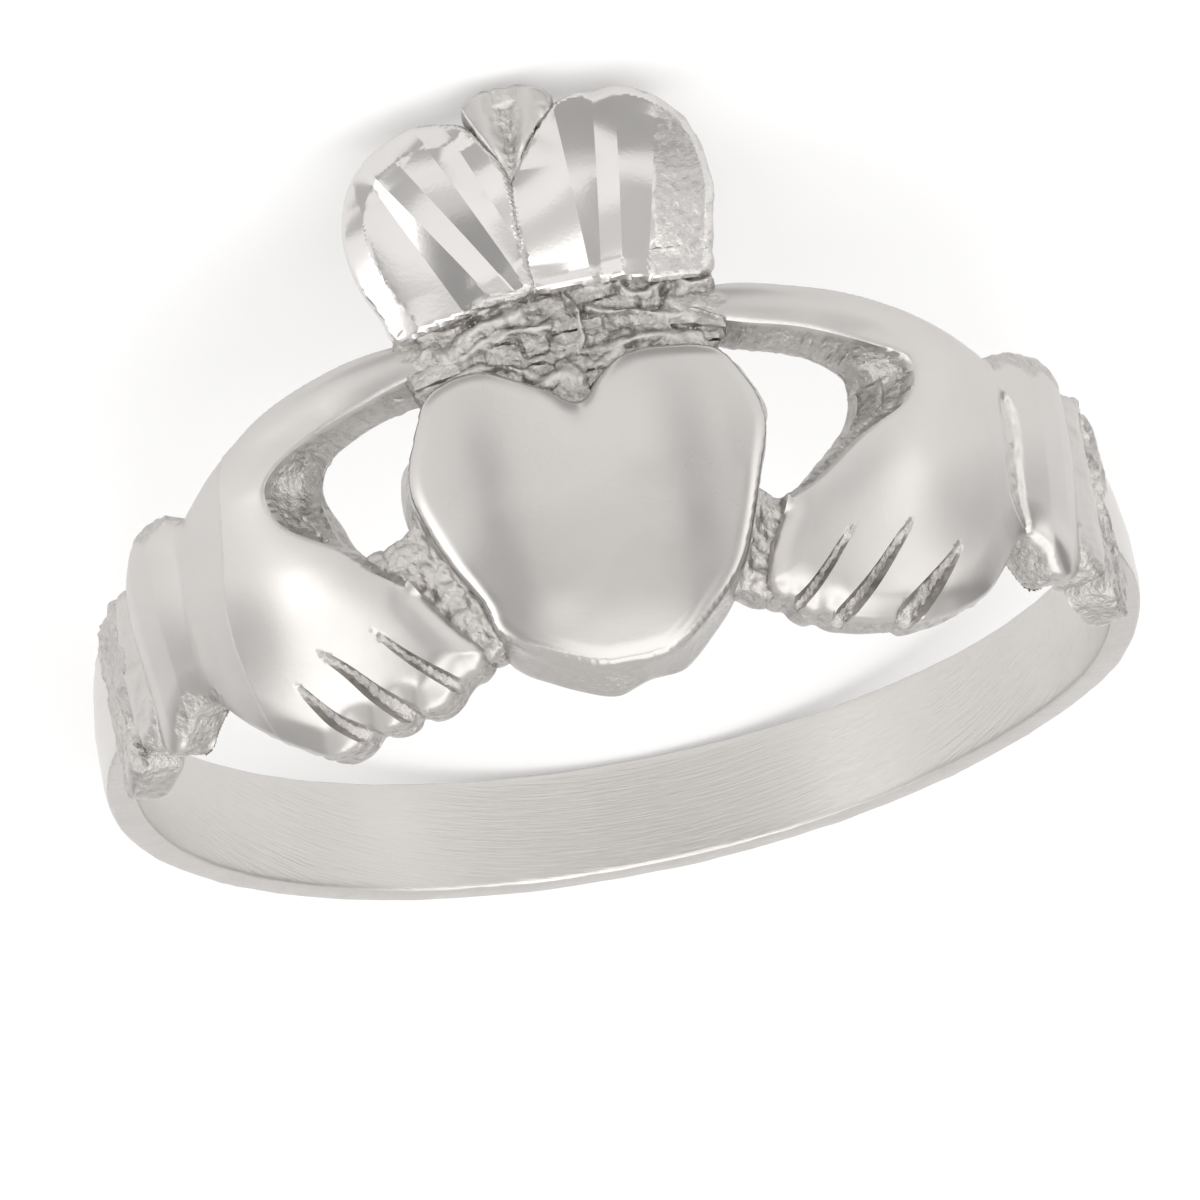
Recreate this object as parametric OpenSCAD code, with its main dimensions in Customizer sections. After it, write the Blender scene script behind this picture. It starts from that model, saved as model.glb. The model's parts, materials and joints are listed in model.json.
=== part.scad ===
// A claddagh ring: two cuffed hands hold a crowned heart on a plain band. One casting.
// Lengths are in millimetres and angles in degrees.
// The forms of the head are drawn on the unrolled finger: s runs along the arc to the right,
// z runs along the finger towards the crown, and a rise is measured out from the finger.

/* [Finger] */
// Inside diameter of the ring
finger_d = 17.3; // [15:0.1:21]
// Clearance behind the head, beyond the inside of the band
head_relief = 0.08; // [0.05:0.01:0.2]

/* [Band] */
// Width of the band along the finger
band_w = 1.9; // [1.5:0.05:2.6]
// Thickness of the band at its edges
band_t = 0.5; // [0.4:0.05:0.8]
// Rise of the band's crowned outside above its edges
band_crown = 0.07; // [0.05:0.01:0.2]

/* [Heart] */
// Width across both lobes of the heart
heart_w = 6.44; // [5.6:0.02:7.2]
// Height of the heart from its lobes to its tip
heart_h = 6.04; // [5:0.02:6.8]
// Distance of the lobes' tops above the middle of the band
heart_top = 1.84; // [1.4:0.02:2.2]
// Rise of the heart's rim
heart_rim_t = 1.1; // [0.9:0.05:1.4]
// Rise of the middle of the heart above its rim
heart_dome = 0.22; // [0.1:0.02:0.5]

/* [Crown] */
// Width across both lobes of the crown
crown_w = 6.8; // [6:0.05:7.4]
// Height of the lobes above the crown's base
crown_h = 3.15; // [2.6:0.05:3.6]
// Distance of the crown's lobes from the middle of the band
crown_z = 3.5; // [3.2:0.05:3.9]
// Rise of the crown's face
crown_t = 1.2; // [1:0.05:1.5]
// Depth of the diamond cuts in the crown
cut_depth = 0.16; // [0.1:0.02:0.3]
// Lean of the crown to the left
crown_lean = 2.5; // [0:0.5:5]
// Width of the fan between the lobes
fan_w = 1.5; // [1.1:0.05:1.9]
// Height of the fan above the lobes
fan_over = 0.28; // [0.15:0.01:0.5]
// Rise of the rough base between the heart and the crown
base_t = 0.8; // [0.6:0.05:1]

/* [Hands] */
// Length of a hand along the arc, from under the heart to its wrist
hand_l = 5.9; // [5:0.05:6.6]
// Distance of the thumb's upper edge above the middle of the band
hand_top = 2.88; // [2.5:0.02:3.2]
// Distance of the fingertips below the middle of the band
hand_low = 3.9; // [3.4:0.05:4.4]
// Rise of the back of the hand
hand_t = 1.2; // [0.9:0.05:1.5]
// Rise of the fingers
finger_t = 0.95; // [0.8:0.05:1.2]
// Depth of the grooves between the fingers
groove = 0.3; // [0.1:0.02:0.45]

/* [Cuffs] */
// Width of the large roll of a cuff
roll_w = 1.7; // [1.2:0.05:2.2]
// Length of the large roll along the finger
roll_l = 4.4; // [3.6:0.05:5]
// Rise of the large roll
roll_t = 1.3; // [1:0.05:1.6]
// Width of the small roll behind it
hem_w = 1.1; // [0.8:0.05:1.5]
// Length of the small roll along the finger
hem_l = 3.65; // [3:0.05:4.2]
// Rise of the small roll
hem_t = 0.98; // [0.8:0.05:1.2]
// Length along the arc over which a shoulder runs out into the band
shoulder_l = 3.2; // [2.4:0.1:4]

/* [Hidden] */
finger_r = finger_d / 2;
// Radius on which arc lengths are measured
arc_r = finger_r + (hand_t + roll_t) / 2;
band_r = finger_r + band_t;
crown_top = crown_z + crown_h;
fan_top = crown_top + fan_over;
hand_start = 0.39 * heart_w;
wrist = hand_start + hand_l;
roll_s = wrist + 0.45 * roll_w;
hem_s = roll_s + 0.5 * roll_w + 0.4 * hem_w;
shoulder_s = hem_s + 0.3 * hem_w;
// Middle of the cuffs along the finger, as they hang a little towards the heart's tip
cuff_z = -0.102 * roll_l;
silver = "gainsboro";
// Metal left inside the band for the drill
drill_t = 0.5;
// Outer end of the pierced gap, and the angle at which the band starts behind it
gap_end = hand_start + 0.5 * hand_l;
gap_slope = 0.16 * hand_l;
band_end = (gap_end + 0.9 * gap_slope) / arc_r * 180 / PI;
// Angle between the ring and the surface that it lies on, crown down: it rests on the back
// edge of the fan's top and on the far edge of the band
fan_r = finger_r + head_relief;
rest_tilt = atan2(fan_top - band_w / 2, fan_r + band_r);
// Sideways angle of the fan's top, which the lean of the crown brings about
fan_turn = asin(sin(crown_lean) * (fan_top - crown_z) / fan_r);

// Half of the heart's edge, from the cleft to the tip.
// Columns: share of the half width, share of the height from the top
HEART_EDGE = [
    [0.00, 0.130], [0.17, 0.062], [0.36, 0.013], [0.58, 0.000], [0.77, 0.010], [0.88, 0.052],
    [0.96, 0.135], [1.00, 0.235], [0.98, 0.360], [0.90, 0.495], [0.79, 0.630], [0.69, 0.745],
    [0.58, 0.815], [0.42, 0.880], [0.27, 0.945], [0.13, 0.988], [0.00, 1.000]
];
// Rim of the crown's right lobe, from its inner edge over the top to its outer edge.
// Columns: share of the crown's half width, share of the lobe's height
LOBE_EDGE = [
    [-0.03, 0.60], [0.20, 0.86], [0.36, 0.97], [0.52, 1.00], [0.68, 0.96], [0.83, 0.86],
    [0.93, 0.72], [0.985, 0.57], [1.00, 0.42]
];
// Foot of the lobe, at its inner and outer edge, in the same shares
LOBE_FOOT = [[-0.05, -0.06], [0.86, -0.12]];
// Diamond cuts side by side on a lobe
FACETS = 5;
// Upper edge and lower edge of the thumb, from the heart to the wrist.
// Columns: share of the hand's length, upper edge and lower edge as shares of its top,
// rise as a share of the hand's rise
THUMB = [
    [-0.05, 0.95, 0.60, 0.75], [0.10, 1.00, 0.71, 0.76], [0.30, 0.98, 0.68, 0.77],
    [0.48, 0.94, 0.58, 0.82], [0.66, 0.85, 0.30, 0.92], [0.84, 0.68, 0.10, 1.00],
    [1.06, 0.46, -0.04, 0.92]
];
// Edge of the palm towards the gap, and the lower edge of the hand, from the wrist on.
// Columns: share of the hand's length; height as a share of the hand's reach below
PALM_EDGE = [
    [1.05, 0.25], [0.80, 0.23], [0.625, 0.09], [0.45, -0.05], [0.30, -0.21], [0.15, -0.38],
    [0.06, -0.58], [0.05, -0.86]
];
LOWER_EDGE = [
    [1.05, -0.56], [0.97, -0.58], [0.91, -0.63], [0.85, -0.69], [0.79, -0.76], [0.72, -0.84],
    [0.65, -0.92], [0.59, -0.98]
];
// Where the grooves between the fingers reach the fingertips, as shares of the hand's edge
FINGERS = [0, 0.20, 0.46, 0.76, 1];
// Lines along which a palm's mesh is made
PALM_ROWS = 14;
PALM_LINES = 24;
// Flat faces around the hollow behind the head
BACK_FACES = 140;

// Point of a table at the share t of its length, on a smooth curve through its rows
function along(table, t) =
    let (n = len(table) - 1, x = min(max(t * n, 0), n - 0.000001), i = floor(x), f = x - i)
    let (a = table[max(i - 1, 0)], b = table[i], c = table[i + 1], d = table[min(i + 2, n)])
    (2 * b + (c - a) * f + (2 * a - 5 * b + 4 * c - d) * f * f
        + (3 * b - a - 3 * c + d) * f * f * f) / 2;
function mix(a, b, t) = a + (b - a) * t;
// Share 0 to 1 that starts and ends gently
function ease(t) = let (x = min(max(t, 0), 1)) x * x * (3 - 2 * x);
// Height of a round back over a share from -1 to 1
function round_back(v) = sqrt(max(1 - v * v, 0));
// Point on the ring from [s, z, rise]
function on_ring(p) =
    let (a = p.x / arc_r * 180 / PI, r = finger_r + p[2]) [r * sin(a), -r * cos(a), p.y];
function foot(p) = on_ring([p.x, p.y, 0]);
function two(a, b, c, d) = [[a, b, c], [a, c, d]];

// Solid between the finger and a grid of points. Rows run to the right, and each row runs
// towards the heart's tip
module raised(grid) {
    m = len(grid);
    n = len(grid[0]);
    low = m * n;
    points = concat([for (row = grid) each [for (p = row) on_ring(p)]],
                    [for (row = grid) each [for (p = row) foot(p)]]);
    faces = concat(
        [for (i = [0:m - 2], j = [0:n - 2]) let (k = i * n + j)
            each concat(two(k, k + n, k + n + 1, k + 1),
                        two(low + k, low + k + 1, low + k + n + 1, low + k + n))],
        [for (i = [0:m - 2]) let (k = i * n, e = k + n - 1)
            each concat(two(k + n, k, low + k, low + k + n),
                        two(e, e + n, low + e + n, low + e))],
        [for (j = [0:n - 2]) let (k = j, e = (m - 1) * n + j)
            each concat(two(k, k + 1, low + k + 1, low + k),
                        two(e + 1, e, low + e, low + e + 1))]);
    polyhedron(points, faces, convexity = 8);
}

// Solid between the finger and closed loops of points, the outer loop first, clockwise
module raised_loops(loops, middle) {
    m = len(loops);
    n = len(loops[0]);
    low = m * n;
    top = low + n;
    points = concat([for (row = loops) each [for (p = row) on_ring(p)]],
                    [for (p = loops[0]) foot(p)], [on_ring(middle), foot(middle)]);
    faces = [for (j = [0:n - 1]) let (k = (j + 1) % n)
        each concat([for (i = [0:m - 2]) each two(i * n + j, i * n + k,
                        (i + 1) * n + k, (i + 1) * n + j)],
                    [[(m - 1) * n + j, (m - 1) * n + k, top], [low + k, low + j, top + 1]],
                    two(k, j, low + j, low + k))];
    polyhedron(points, faces, convexity = 8);
}

// Copy of its children on the left side as well
module both_sides() {
    children();
    mirror([1, 0, 0]) children();
}

// The plain band, crowned outside, before the finger hole is drilled. It ends under the
// backs of the hands
module band() {
    steps = 6;
    color(silver)
        rotate([0, 0, band_end - 90])
            rotate_extrude(angle = 360 - 2 * band_end, $fn = 120)
                polygon(concat([[finger_r - drill_t, -band_w / 2]],
                    [for (i = [0:steps]) let (v = 2 * i / steps - 1)
                        [band_r + band_crown * (1 - v * v), band_w / 2 * v]],
                    [[finger_r - drill_t, band_w / 2]]));
}

// The heart: a domed face with a crisp rim and a steep wall
function heart_side(n) = [for (i = [0:n]) let (p = along(HEART_EDGE, i / n))
    [p.x * heart_w / 2, heart_top - p.y * heart_h]];
module heart() {
    right = heart_side(20);
    edge = concat(right, [for (i = [19:-1:1]) [-right[i].x, right[i].y]]);
    middle = [0, heart_top - 0.42 * heart_h];
    shrink = [1, 0.97, 0.75, 0.5, 0.25];
    lift = [-0.12, 0, 0.45, 0.78, 0.95];
    color(silver)
        raised_loops([for (k = [0:4]) [for (p = edge) let (q = mix(middle, p, shrink[k]))
            [q.x, q.y, heart_rim_t + heart_dome * lift[k]]]],
            [middle.x, middle.y, heart_rim_t + heart_dome]);
}

// One lobe of the crown on the right: diamond cuts side by side, which run from its foot
// to its rim, and a bevel along both edges
module lobe() {
    rows = 4 * FACETS;
    raised([for (i = [0:rows]) let (t = i / rows, rim = along(LOBE_EDGE, t))
        let (base = mix(LOBE_FOOT[0], LOBE_FOOT[1], t), fold = abs(2 * (t * FACETS % 1) - 1))
        [for (k = [0:0.25:1]) let (p = mix(rim, base, k))
            [p.x * crown_w / 2, crown_z + p.y * crown_h,
             crown_t - cut_depth * (1 - fold) - 2 * cut_depth * ease(abs(16 * t - 8) - 7)]]]);
}

// The ribbed fan between the lobes
module fan() {
    ribs = 3;
    rows = 3 * ribs + 1;
    color(silver)
        raised([for (i = [0:rows]) let (v = 2 * i / rows - 1)
            [for (t = [0:0.125:1])
                [v * fan_w / 2 * mix(1, 0.12, t * t),
                 fan_top - 0.16 * fan_w * v * v - t * 0.5 * crown_h,
                 crown_t * (0.9 - 0.1 * t + 0.05 * cos(360 * ribs * (v + 1) / 2))]]]);
}

// The rough bar that carries the crown, with its ridges
module crown_base() {
    rows = 10;
    lines = 16;
    reach = 0.44 * crown_w;
    top = crown_z + 0.05 * crown_h;
    color(silver)
        raised([for (i = [0:rows]) let (v = 2 * i / rows - 1)
            [for (j = [0:lines]) let (t = j / lines)
                [v * reach * (1 + 0.017 * sin(180 * t)),
                 mix(top, heart_top - mix(0.18, 0.02, v * v) * heart_h, t),
                 base_t * (1 + 0.075 * cos(360 * 4 * t) + 0.2 * ease(1 - 4 * t))]]]);
}

module crown() {
    color(silver) {
        both_sides() lobe();
        fan();
    }
}

// A hand's thumb: a round bar that broadens into the back of the hand
module thumb() {
    rows = 16;
    lines = 8;
    color(silver)
        raised([for (i = [0:rows]) let (p = along(THUMB, i / rows))
            [for (j = [0:lines]) let (v = 2 * j / lines - 1)
                [hand_start + p.x * hand_l, mix(p.y, p[2], (v + 1) / 2) * hand_top,
                 hand_t * p[3] * mix(0.72, 1, round_back(v))]]]);
}

// Depth of the scallop between the fingers at the share v across the hand, 0 at a groove
function scallop(v) =
    let (k = max([for (i = [0:3]) v >= FINGERS[i] ? i : 0]))
    sin(180 * (v - FINGERS[k]) / (FINGERS[k + 1] - FINGERS[k]));

// A hand's palm with its four fingers
module palm() {
    color(silver)
        raised([for (i = [PALM_ROWS:-1:0]) let (t = i / PALM_ROWS)
            [for (j = [0:PALM_LINES]) let (v = j / PALM_LINES)
                let (a = along(PALM_EDGE, t), b = along(LOWER_EDGE, t), p = mix(a, b, v))
                let (f = ease((t - 0.5) / 0.3), tip = ease((t - 0.8) / 0.2) * scallop(v))
                [hand_start + (p.x - 0.017 * tip) * hand_l, (p.y - 0.041 * tip) * hand_low,
                 mix(mix(hand_t, finger_t, ease((t - 0.3) / 0.6)), 0.7 * finger_t,
                     ease((t - 0.88) / 0.12)) * mix(0.8, 1, round_back(2 * v - 1))
                     - groove * f * (1 - sqrt(scallop(v)))]]]);
}

// The sloping wall at the outer end of the pierced gap, and the rough strip that joins the
// first finger to the heart
module webs() {
    color(silver) {
        raised([for (t = [0:0.25:1.5])
            [for (z = [0.6, 0.27, -0.12]) [gap_end + t * gap_slope, z * hand_top,
                mix(2 * head_relief, 0.65 * hand_t, min(t, 1))]]]);
        raised([for (t = [0:0.25:1])
            [for (z = [mix(-0.24, -0.36, t), -0.58, mix(-0.76, -0.84, t)])
                [mix(0.33, 0.45, t) * heart_w, z * hand_low, 0.7 * finger_t]]]);
    }
}

// A round roll across the ring, from [s, width, length, rise, lean]
module roll(s, width, length, rise, lean) {
    n = 24;
    spread = [1, 0.92, 0.72, 0.4];
    edge = [for (i = [0:n - 1]) let (a = 90 - 360 * i / n, x = cos(a), y = sin(a))
        [sign(x) * pow(abs(x), 0.8) * width / 2, sign(y) * pow(abs(y), 0.8) * length / 2]];
    raised_loops([for (k = [0:3]) [for (p = edge) [s + p.x * spread[k] + lean * p.y,
        cuff_z + p.y * mix(1, spread[k], 0.45),
        rise * mix(0.66, 1, round_back(spread[k]))]]], [s, cuff_z, rise]);
}

// A cuff: a large roll with a knob at each end, and a small roll behind it
module cuff() {
    color(silver) {
        roll(roll_s, roll_w, roll_l, roll_t, 0.12);
        roll(hem_s, hem_w, hem_l, hem_t, 0);
    }
}

// A shoulder, which narrows from the cuff into the band
module shoulder() {
    rows = 12;
    lines = 8;
    color(silver)
        raised([for (i = [0:rows]) let (t = i / rows, e = ease(t))
            [for (j = [0:lines]) let (v = 1 - 2 * j / lines)
                [shoulder_s + t * shoulder_l,
                 mix(cuff_z, 0, e) + v * mix(0.47 * hem_l, 0.46 * band_w, e),
                 mix(0.85 * hem_t, 0.8 * band_t, e) + band_crown * (1 - v * v)]]]);
}

// The head's forms, hollowed behind to follow the finger
module head() {
    full = 2 * (arc_r + crown_t);
    difference() {
        union() {
            heart();
            crown_base();
            rotate_on_face(crown_lean) crown();
            both_sides() {
                thumb();
                palm();
                webs();
                cuff();
                shoulder();
            }
        }
        translate([0, 0, -full / 2])
            rotate([0, 0, 90 / BACK_FACES])
                cylinder(r = finger_r + head_relief, h = full, $fn = BACK_FACES);
    }
}

// The finger hole, drilled through the band
module finger_hole() {
    translate([0, 0, -band_w]) cylinder(r = finger_r, h = 2 * band_w, $fn = 180);
}

// Turn on the ring's face about the middle of the crown's base, as seen from the front
module rotate_on_face(turn) {
    translate([0, 0, crown_z]) rotate([0, -turn, 0]) translate([0, 0, -crown_z]) children();
}

// The whole ring as it lies at rest, with its origin in the middle of the finger hole.
// A resize to no size leaves the fused forms as they are, as one casting
module ring() {
    rotate([-rest_tilt, 0, 0])
        rotate([0, 180, 0])
            rotate([0, 0, fan_turn])
                difference() {
                    resize([0, 0, 0]) {
                        band();
                        head();
                    }
                    finger_hole();
                }
}

ring();
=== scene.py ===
"""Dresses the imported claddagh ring: band, cuffed hands, heart and crown in sterling silver.

The forms of the head are drawn on the unrolled ring. There s runs along the arc to the
right and z along the finger towards the crown, both in millimetres, and a rise is measured
out from the finger. The ring is built upright and then laid on its side as the frame has it.
"""

import itertools
import json
import logging
import math
from dataclasses import dataclass, field
from enum import Enum
from typing import Callable, Sequence

import bpy
import numpy as np
from mathutils import Matrix, Vector
from mathutils.geometry import delaunay_2d_cdt


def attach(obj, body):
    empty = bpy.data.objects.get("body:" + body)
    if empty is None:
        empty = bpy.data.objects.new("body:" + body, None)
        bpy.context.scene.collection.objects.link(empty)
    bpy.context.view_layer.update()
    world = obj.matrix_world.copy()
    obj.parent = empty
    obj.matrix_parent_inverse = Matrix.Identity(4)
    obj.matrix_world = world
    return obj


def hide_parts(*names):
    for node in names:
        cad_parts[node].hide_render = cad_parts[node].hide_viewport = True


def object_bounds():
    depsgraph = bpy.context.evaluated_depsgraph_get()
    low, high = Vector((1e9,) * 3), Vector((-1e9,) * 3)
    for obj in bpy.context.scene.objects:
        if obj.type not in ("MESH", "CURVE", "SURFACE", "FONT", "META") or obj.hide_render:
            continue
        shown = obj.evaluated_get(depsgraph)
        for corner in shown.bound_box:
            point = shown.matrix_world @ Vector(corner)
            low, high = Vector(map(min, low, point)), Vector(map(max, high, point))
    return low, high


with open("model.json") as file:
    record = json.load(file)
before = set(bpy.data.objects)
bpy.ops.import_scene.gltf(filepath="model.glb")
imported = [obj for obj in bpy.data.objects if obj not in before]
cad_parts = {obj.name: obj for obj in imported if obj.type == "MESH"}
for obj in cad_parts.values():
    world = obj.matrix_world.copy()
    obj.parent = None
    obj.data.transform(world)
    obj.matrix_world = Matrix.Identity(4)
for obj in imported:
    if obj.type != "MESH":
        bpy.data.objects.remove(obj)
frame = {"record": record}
cad_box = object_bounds()

log = logging.getLogger("ring")

MM = 0.001
NODE = "ring"
BODY = "root"
# The finishes also darken the pits of rough metal with painted shade, as far as this attribute
# says.
CAST = "cast"  # point attribute: 0 on polished metal, 1 on rough cast metal
STEP = 0.05  # between the points of the lines that a mesh follows
CURVE_STEPS = 24  # points of a smooth curve between two of its knots
CHUNK = 4000  # points whose distance is taken at once, to spare memory
SCATTER = (73856093, 19349663, 83492791, 2654435)  # spread the noise's cells and its seed

Points = np.ndarray
# Values at rows of s and z, given their depth inside the outline
Field = Callable[[Points, np.ndarray], np.ndarray]
Value = bpy.types.NodeSocket | float


class Side(Enum):
    """The side of the heart that a form lies on, seen from the front with the crown up."""

    LEFT = -1
    RIGHT = 1

    @property
    def word(self) -> str:
        """Name of the side for the names of pieces."""
        return self.name.lower()


@dataclass(frozen=True)
class Placement:
    """How the ring lies in the frame: on its crown and on the band's far edge.

    Attributes:
        finger_r: radius of the finger hole, from the record's mount.
        tilt: angle between the finger hole's axis and the vertical.
        turn: turn of the head about the finger, which the lean of the crown brings about.
        arc_r: radius on which arc lengths are measured.
    """

    finger_r: float
    tilt: float
    turn: float = math.radians(0.982)
    arc_r: float = 9.9

    @classmethod
    def from_record(cls) -> "Placement":
        """Reads the finger hole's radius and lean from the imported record."""
        mount = frame["record"]["mounts"][0]
        return cls(mount["dims"]["r_mm"], math.asin(mount["axis"][1]))

    @property
    def matrix(self) -> Matrix:
        """Turn from the upright ring to the ring as it lies, without a scale."""
        return (
            Matrix.Rotation(-self.tilt, 4, "X")
            @ Matrix.Rotation(math.pi, 4, "Y")
            @ Matrix.Rotation(self.turn, 4, "Z")
        )

    def wrap(self, flat: Points, rise: np.ndarray) -> Points:
        """Puts points of the unrolled ring on the upright ring.

        Args:
            flat: rows of s and z.
            rise: rise of each point above the finger.

        Returns:
            Rows of x, y and z in millimetres.
        """
        angle = flat[:, 0] / self.arc_r
        radius = self.finger_r + rise
        return np.column_stack(
            (radius * np.sin(angle), -radius * np.cos(angle), flat[:, 1])
        )

    def lay(self, upright: Points) -> Points:
        """Lays points of the upright ring in the frame, in metres."""
        turn = np.array(self.matrix.to_3x3())
        return upright @ turn.T * MM


PLACE = Placement.from_record()


# Shapes on the unrolled ring


def ease(t: np.ndarray) -> np.ndarray:
    """Share from 0 to 1 that starts and ends gently."""
    t = np.clip(t, 0.0, 1.0)
    return t * t * (3.0 - 2.0 * t)


def blend(a: np.ndarray | float, b: np.ndarray | float, t: np.ndarray | float) -> np.ndarray:
    """Value at the share t of the way from a to b."""
    return a + (b - a) * t


@dataclass(frozen=True)
class Rounding:
    """A rounded edge.

    Attributes:
        drop: how far the edge lies below the form beside it.
        wide: width of the rounding.
    """

    drop: float
    wide: float

    def fall(self, depth: np.ndarray) -> np.ndarray:
        """Fall of the form at a depth inside the edge."""
        x = 1.0 - np.clip(depth / self.wide, 0.0, 1.0)
        return self.drop * (1.0 - np.sqrt(1.0 - x * x))


def ramp(x: np.ndarray, start: float, end: float) -> np.ndarray:
    """Share that rises from 0 at the start to 1 at the end, gently at both."""
    return ease((x - start) / (end - start))


def swell(x: np.ndarray, middle: float, reach: float) -> np.ndarray:
    """Bell that is 1 in its middle and falls away on both sides."""
    return np.exp(-(((x - middle) / reach) ** 2))


def level(flat: Points) -> Points:
    """Points of the unrolled ring as points in space, for noise."""
    return np.column_stack((flat, np.zeros(len(flat))))


def lengths(line: Points) -> np.ndarray:
    """Length of a line up to each of its points."""
    return np.concatenate(([0], np.cumsum(np.linalg.norm(np.diff(line, axis=0), axis=1))))


def divide(line: Points, count: int) -> Points:
    """Divides a line into equal parts.

    Args:
        line: rows of s and z.
        count: number of the parts.

    Returns:
        Rows of s and z, one more than the parts.
    """
    length = lengths(line)
    at = np.linspace(0, length[-1], count + 1)
    return np.column_stack([np.interp(at, length, line[:, i]) for i in (0, 1)])


def resample(line: Points, step: float) -> Points:
    """Divides a line into parts that are about a step long."""
    return divide(line, max(int(lengths(line)[-1] / step), 2))


def smooth_line(knots: Sequence[Sequence[float]], step: float, closed: bool) -> Points:
    """Draws a smooth curve through a few knots and divides it evenly.

    Args:
        knots: rows of s and z.
        step: distance between the points of the result.
        closed: whether the curve ends where it starts.

    Returns:
        Rows of s and z.
    """
    k = np.asarray(knots, float)
    n = len(k)
    dense = []
    for i in range(n if closed else n - 1):
        if closed:
            a, b, c, d = (k[(i + j) % n] for j in (-1, 0, 1, 2))
        else:
            a, b, c, d = k[max(i - 1, 0)], k[i], k[i + 1], k[min(i + 2, n - 1)]
        # centripetal spacing keeps close knots from overshooting
        ta, tb, tc = (
            max(np.linalg.norm(q - p), 1e-4) ** 0.5 for p, q in ((a, b), (b, c), (c, d))
        )
        m1 = (c - b) / tb - (c - a) / (ta + tb) + (b - a) / ta
        m2 = (c - b) / tb - (d - b) / (tb + tc) + (d - c) / tc
        if not closed and i == 0:
            m1 = (c - b) / tb
        if not closed and i == n - 2:
            m2 = (c - b) / tb
        t = np.linspace(0, 1, CURVE_STEPS + 1)[:-1, None]
        h = t * t * (3 - 2 * t)
        dense.append(
            b * (1 - h) + c * h
            + tb * m1 * (t ** 3 - 2 * t * t + t) + tb * m2 * (t ** 3 - t * t)
        )
    curve = np.vstack(dense + ([k[:1]] if closed else [k[-1:]]))
    out = divide(curve, max(int(round(lengths(curve)[-1] / step)), 3))
    return out[:-1] if closed else out


def inside(points: Points, loop: Points) -> np.ndarray:
    """Says which points lie inside a closed loop.

    Args:
        points: rows of s and z.
        loop: rows of s and z along the loop.

    Returns:
        A truth value for each point.
    """
    hit = np.zeros(len(points), bool)
    x, y = points[:, 0], points[:, 1]
    for (x1, y1), (x2, y2) in zip(loop, np.roll(loop, -1, axis=0)):
        if y1 == y2:
            continue
        crosses = (y1 > y) != (y2 > y)
        hit ^= crosses & (x < (x2 - x1) * (y - y1) / (y2 - y1) + x1)
    return hit


def distance(points: Points, line: Points, closed: bool) -> tuple[np.ndarray, np.ndarray]:
    """Distance from a line, and the place of the nearest point on it.

    Args:
        points: rows of s and z.
        line: rows of s and z along the line.
        closed: whether the line ends where it starts.

    Returns:
        The distance of each point, and the share of the line's rows at which it is nearest.
    """
    a = line if closed else line[:-1]
    b = np.roll(line, -1, axis=0) if closed else line[1:]
    ab = b - a
    size = np.maximum((ab * ab).sum(axis=1), 1e-12)
    best, where = np.full(len(points), 1e9), np.zeros(len(points))
    for start in range(0, len(points), CHUNK):
        p = points[start:start + CHUNK]
        ap = p[:, None] - a[None]
        t = np.clip((ap * ab[None]).sum(axis=2) / size[None], 0, 1)
        gap = np.linalg.norm(ap - t[..., None] * ab[None], axis=2)
        i = gap.argmin(axis=1)
        rows = np.arange(len(p))
        best[start:start + CHUNK] = gap[rows, i]
        where[start:start + CHUNK] = (i + t[rows, i]) / len(a)
    return best, where


def lattice_noise(points: Points, size: float, seed: int) -> np.ndarray:
    """Smooth noise between -1 and 1 in space.

    Args:
        points: rows of x, y and z in millimetres.
        size: distance between the bumps.
        seed: number that fixes the pattern.

    Returns:
        A value for each point.
    """
    q = points / size
    cell = np.floor(q).astype(np.int64)
    f = q - cell
    f = f * f * f * (f * (f * 6 - 15) + 10)
    out = np.zeros(len(points))
    for corner in itertools.product((0, 1), repeat=3):
        c = np.column_stack((cell + corner, np.full(len(cell), seed))) * SCATTER
        # the cell's bits are mixed into a whole number from 0 to 65535
        h = np.bitwise_xor.reduce(c, axis=1)
        h = (h ^ (h >> 13)) * 1274126177 & 0x7FFFFFFF
        h = (h ^ (h >> 16)) & 0xFFFF
        out += np.where(corner, f, 1 - f).prod(axis=1) * (h / 32767.5 - 1)
    return out


def rough_noise(points: Points, size: float, seed: int) -> np.ndarray:
    """Noise of three sizes together, the largest the strongest.

    Args:
        points: rows of x, y and z in millimetres.
        size: distance between the largest bumps.
        seed: number that fixes the pattern.

    Returns:
        A value for each point, mostly between -1 and 1.
    """
    strengths = (1.0, 0.55, 0.3)
    octaves = (
        strength * lattice_noise(points, size / 2 ** i, seed + i)
        for i, strength in enumerate(strengths)
    )
    return sum(octaves) / 1.4


def runs(line: Points, keep: np.ndarray) -> list[Points]:
    """Takes the stretches of a line whose points are kept.

    Args:
        line: rows of s and z.
        keep: a truth value for each row.

    Returns:
        The stretches of at least three points.
    """
    out, start = [], None
    for i, kept in enumerate([*keep, False]):
        if kept and start is None:
            start = i
        if not kept and start is not None:
            if i - start > 2:
                out.append(line[start:i])
            start = None
    return out


# Finishes


class Maths(Enum):
    """The steps of arithmetic that the trees take."""

    ADD = "ADD"
    SUBTRACT = "SUBTRACT"
    MULTIPLY = "MULTIPLY"
    POWER = "POWER"
    ABSOLUTE = "ABSOLUTE"
    SIGN = "SIGN"
    ABOVE = "GREATER_THAN"


class Mixed(Enum):
    """What is mixed: the node's name for it, its two inputs and its output."""

    NUMBER = ("FLOAT", 2, 3, 0)
    COLOUR = ("RGBA", 6, 7, 2)


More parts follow.
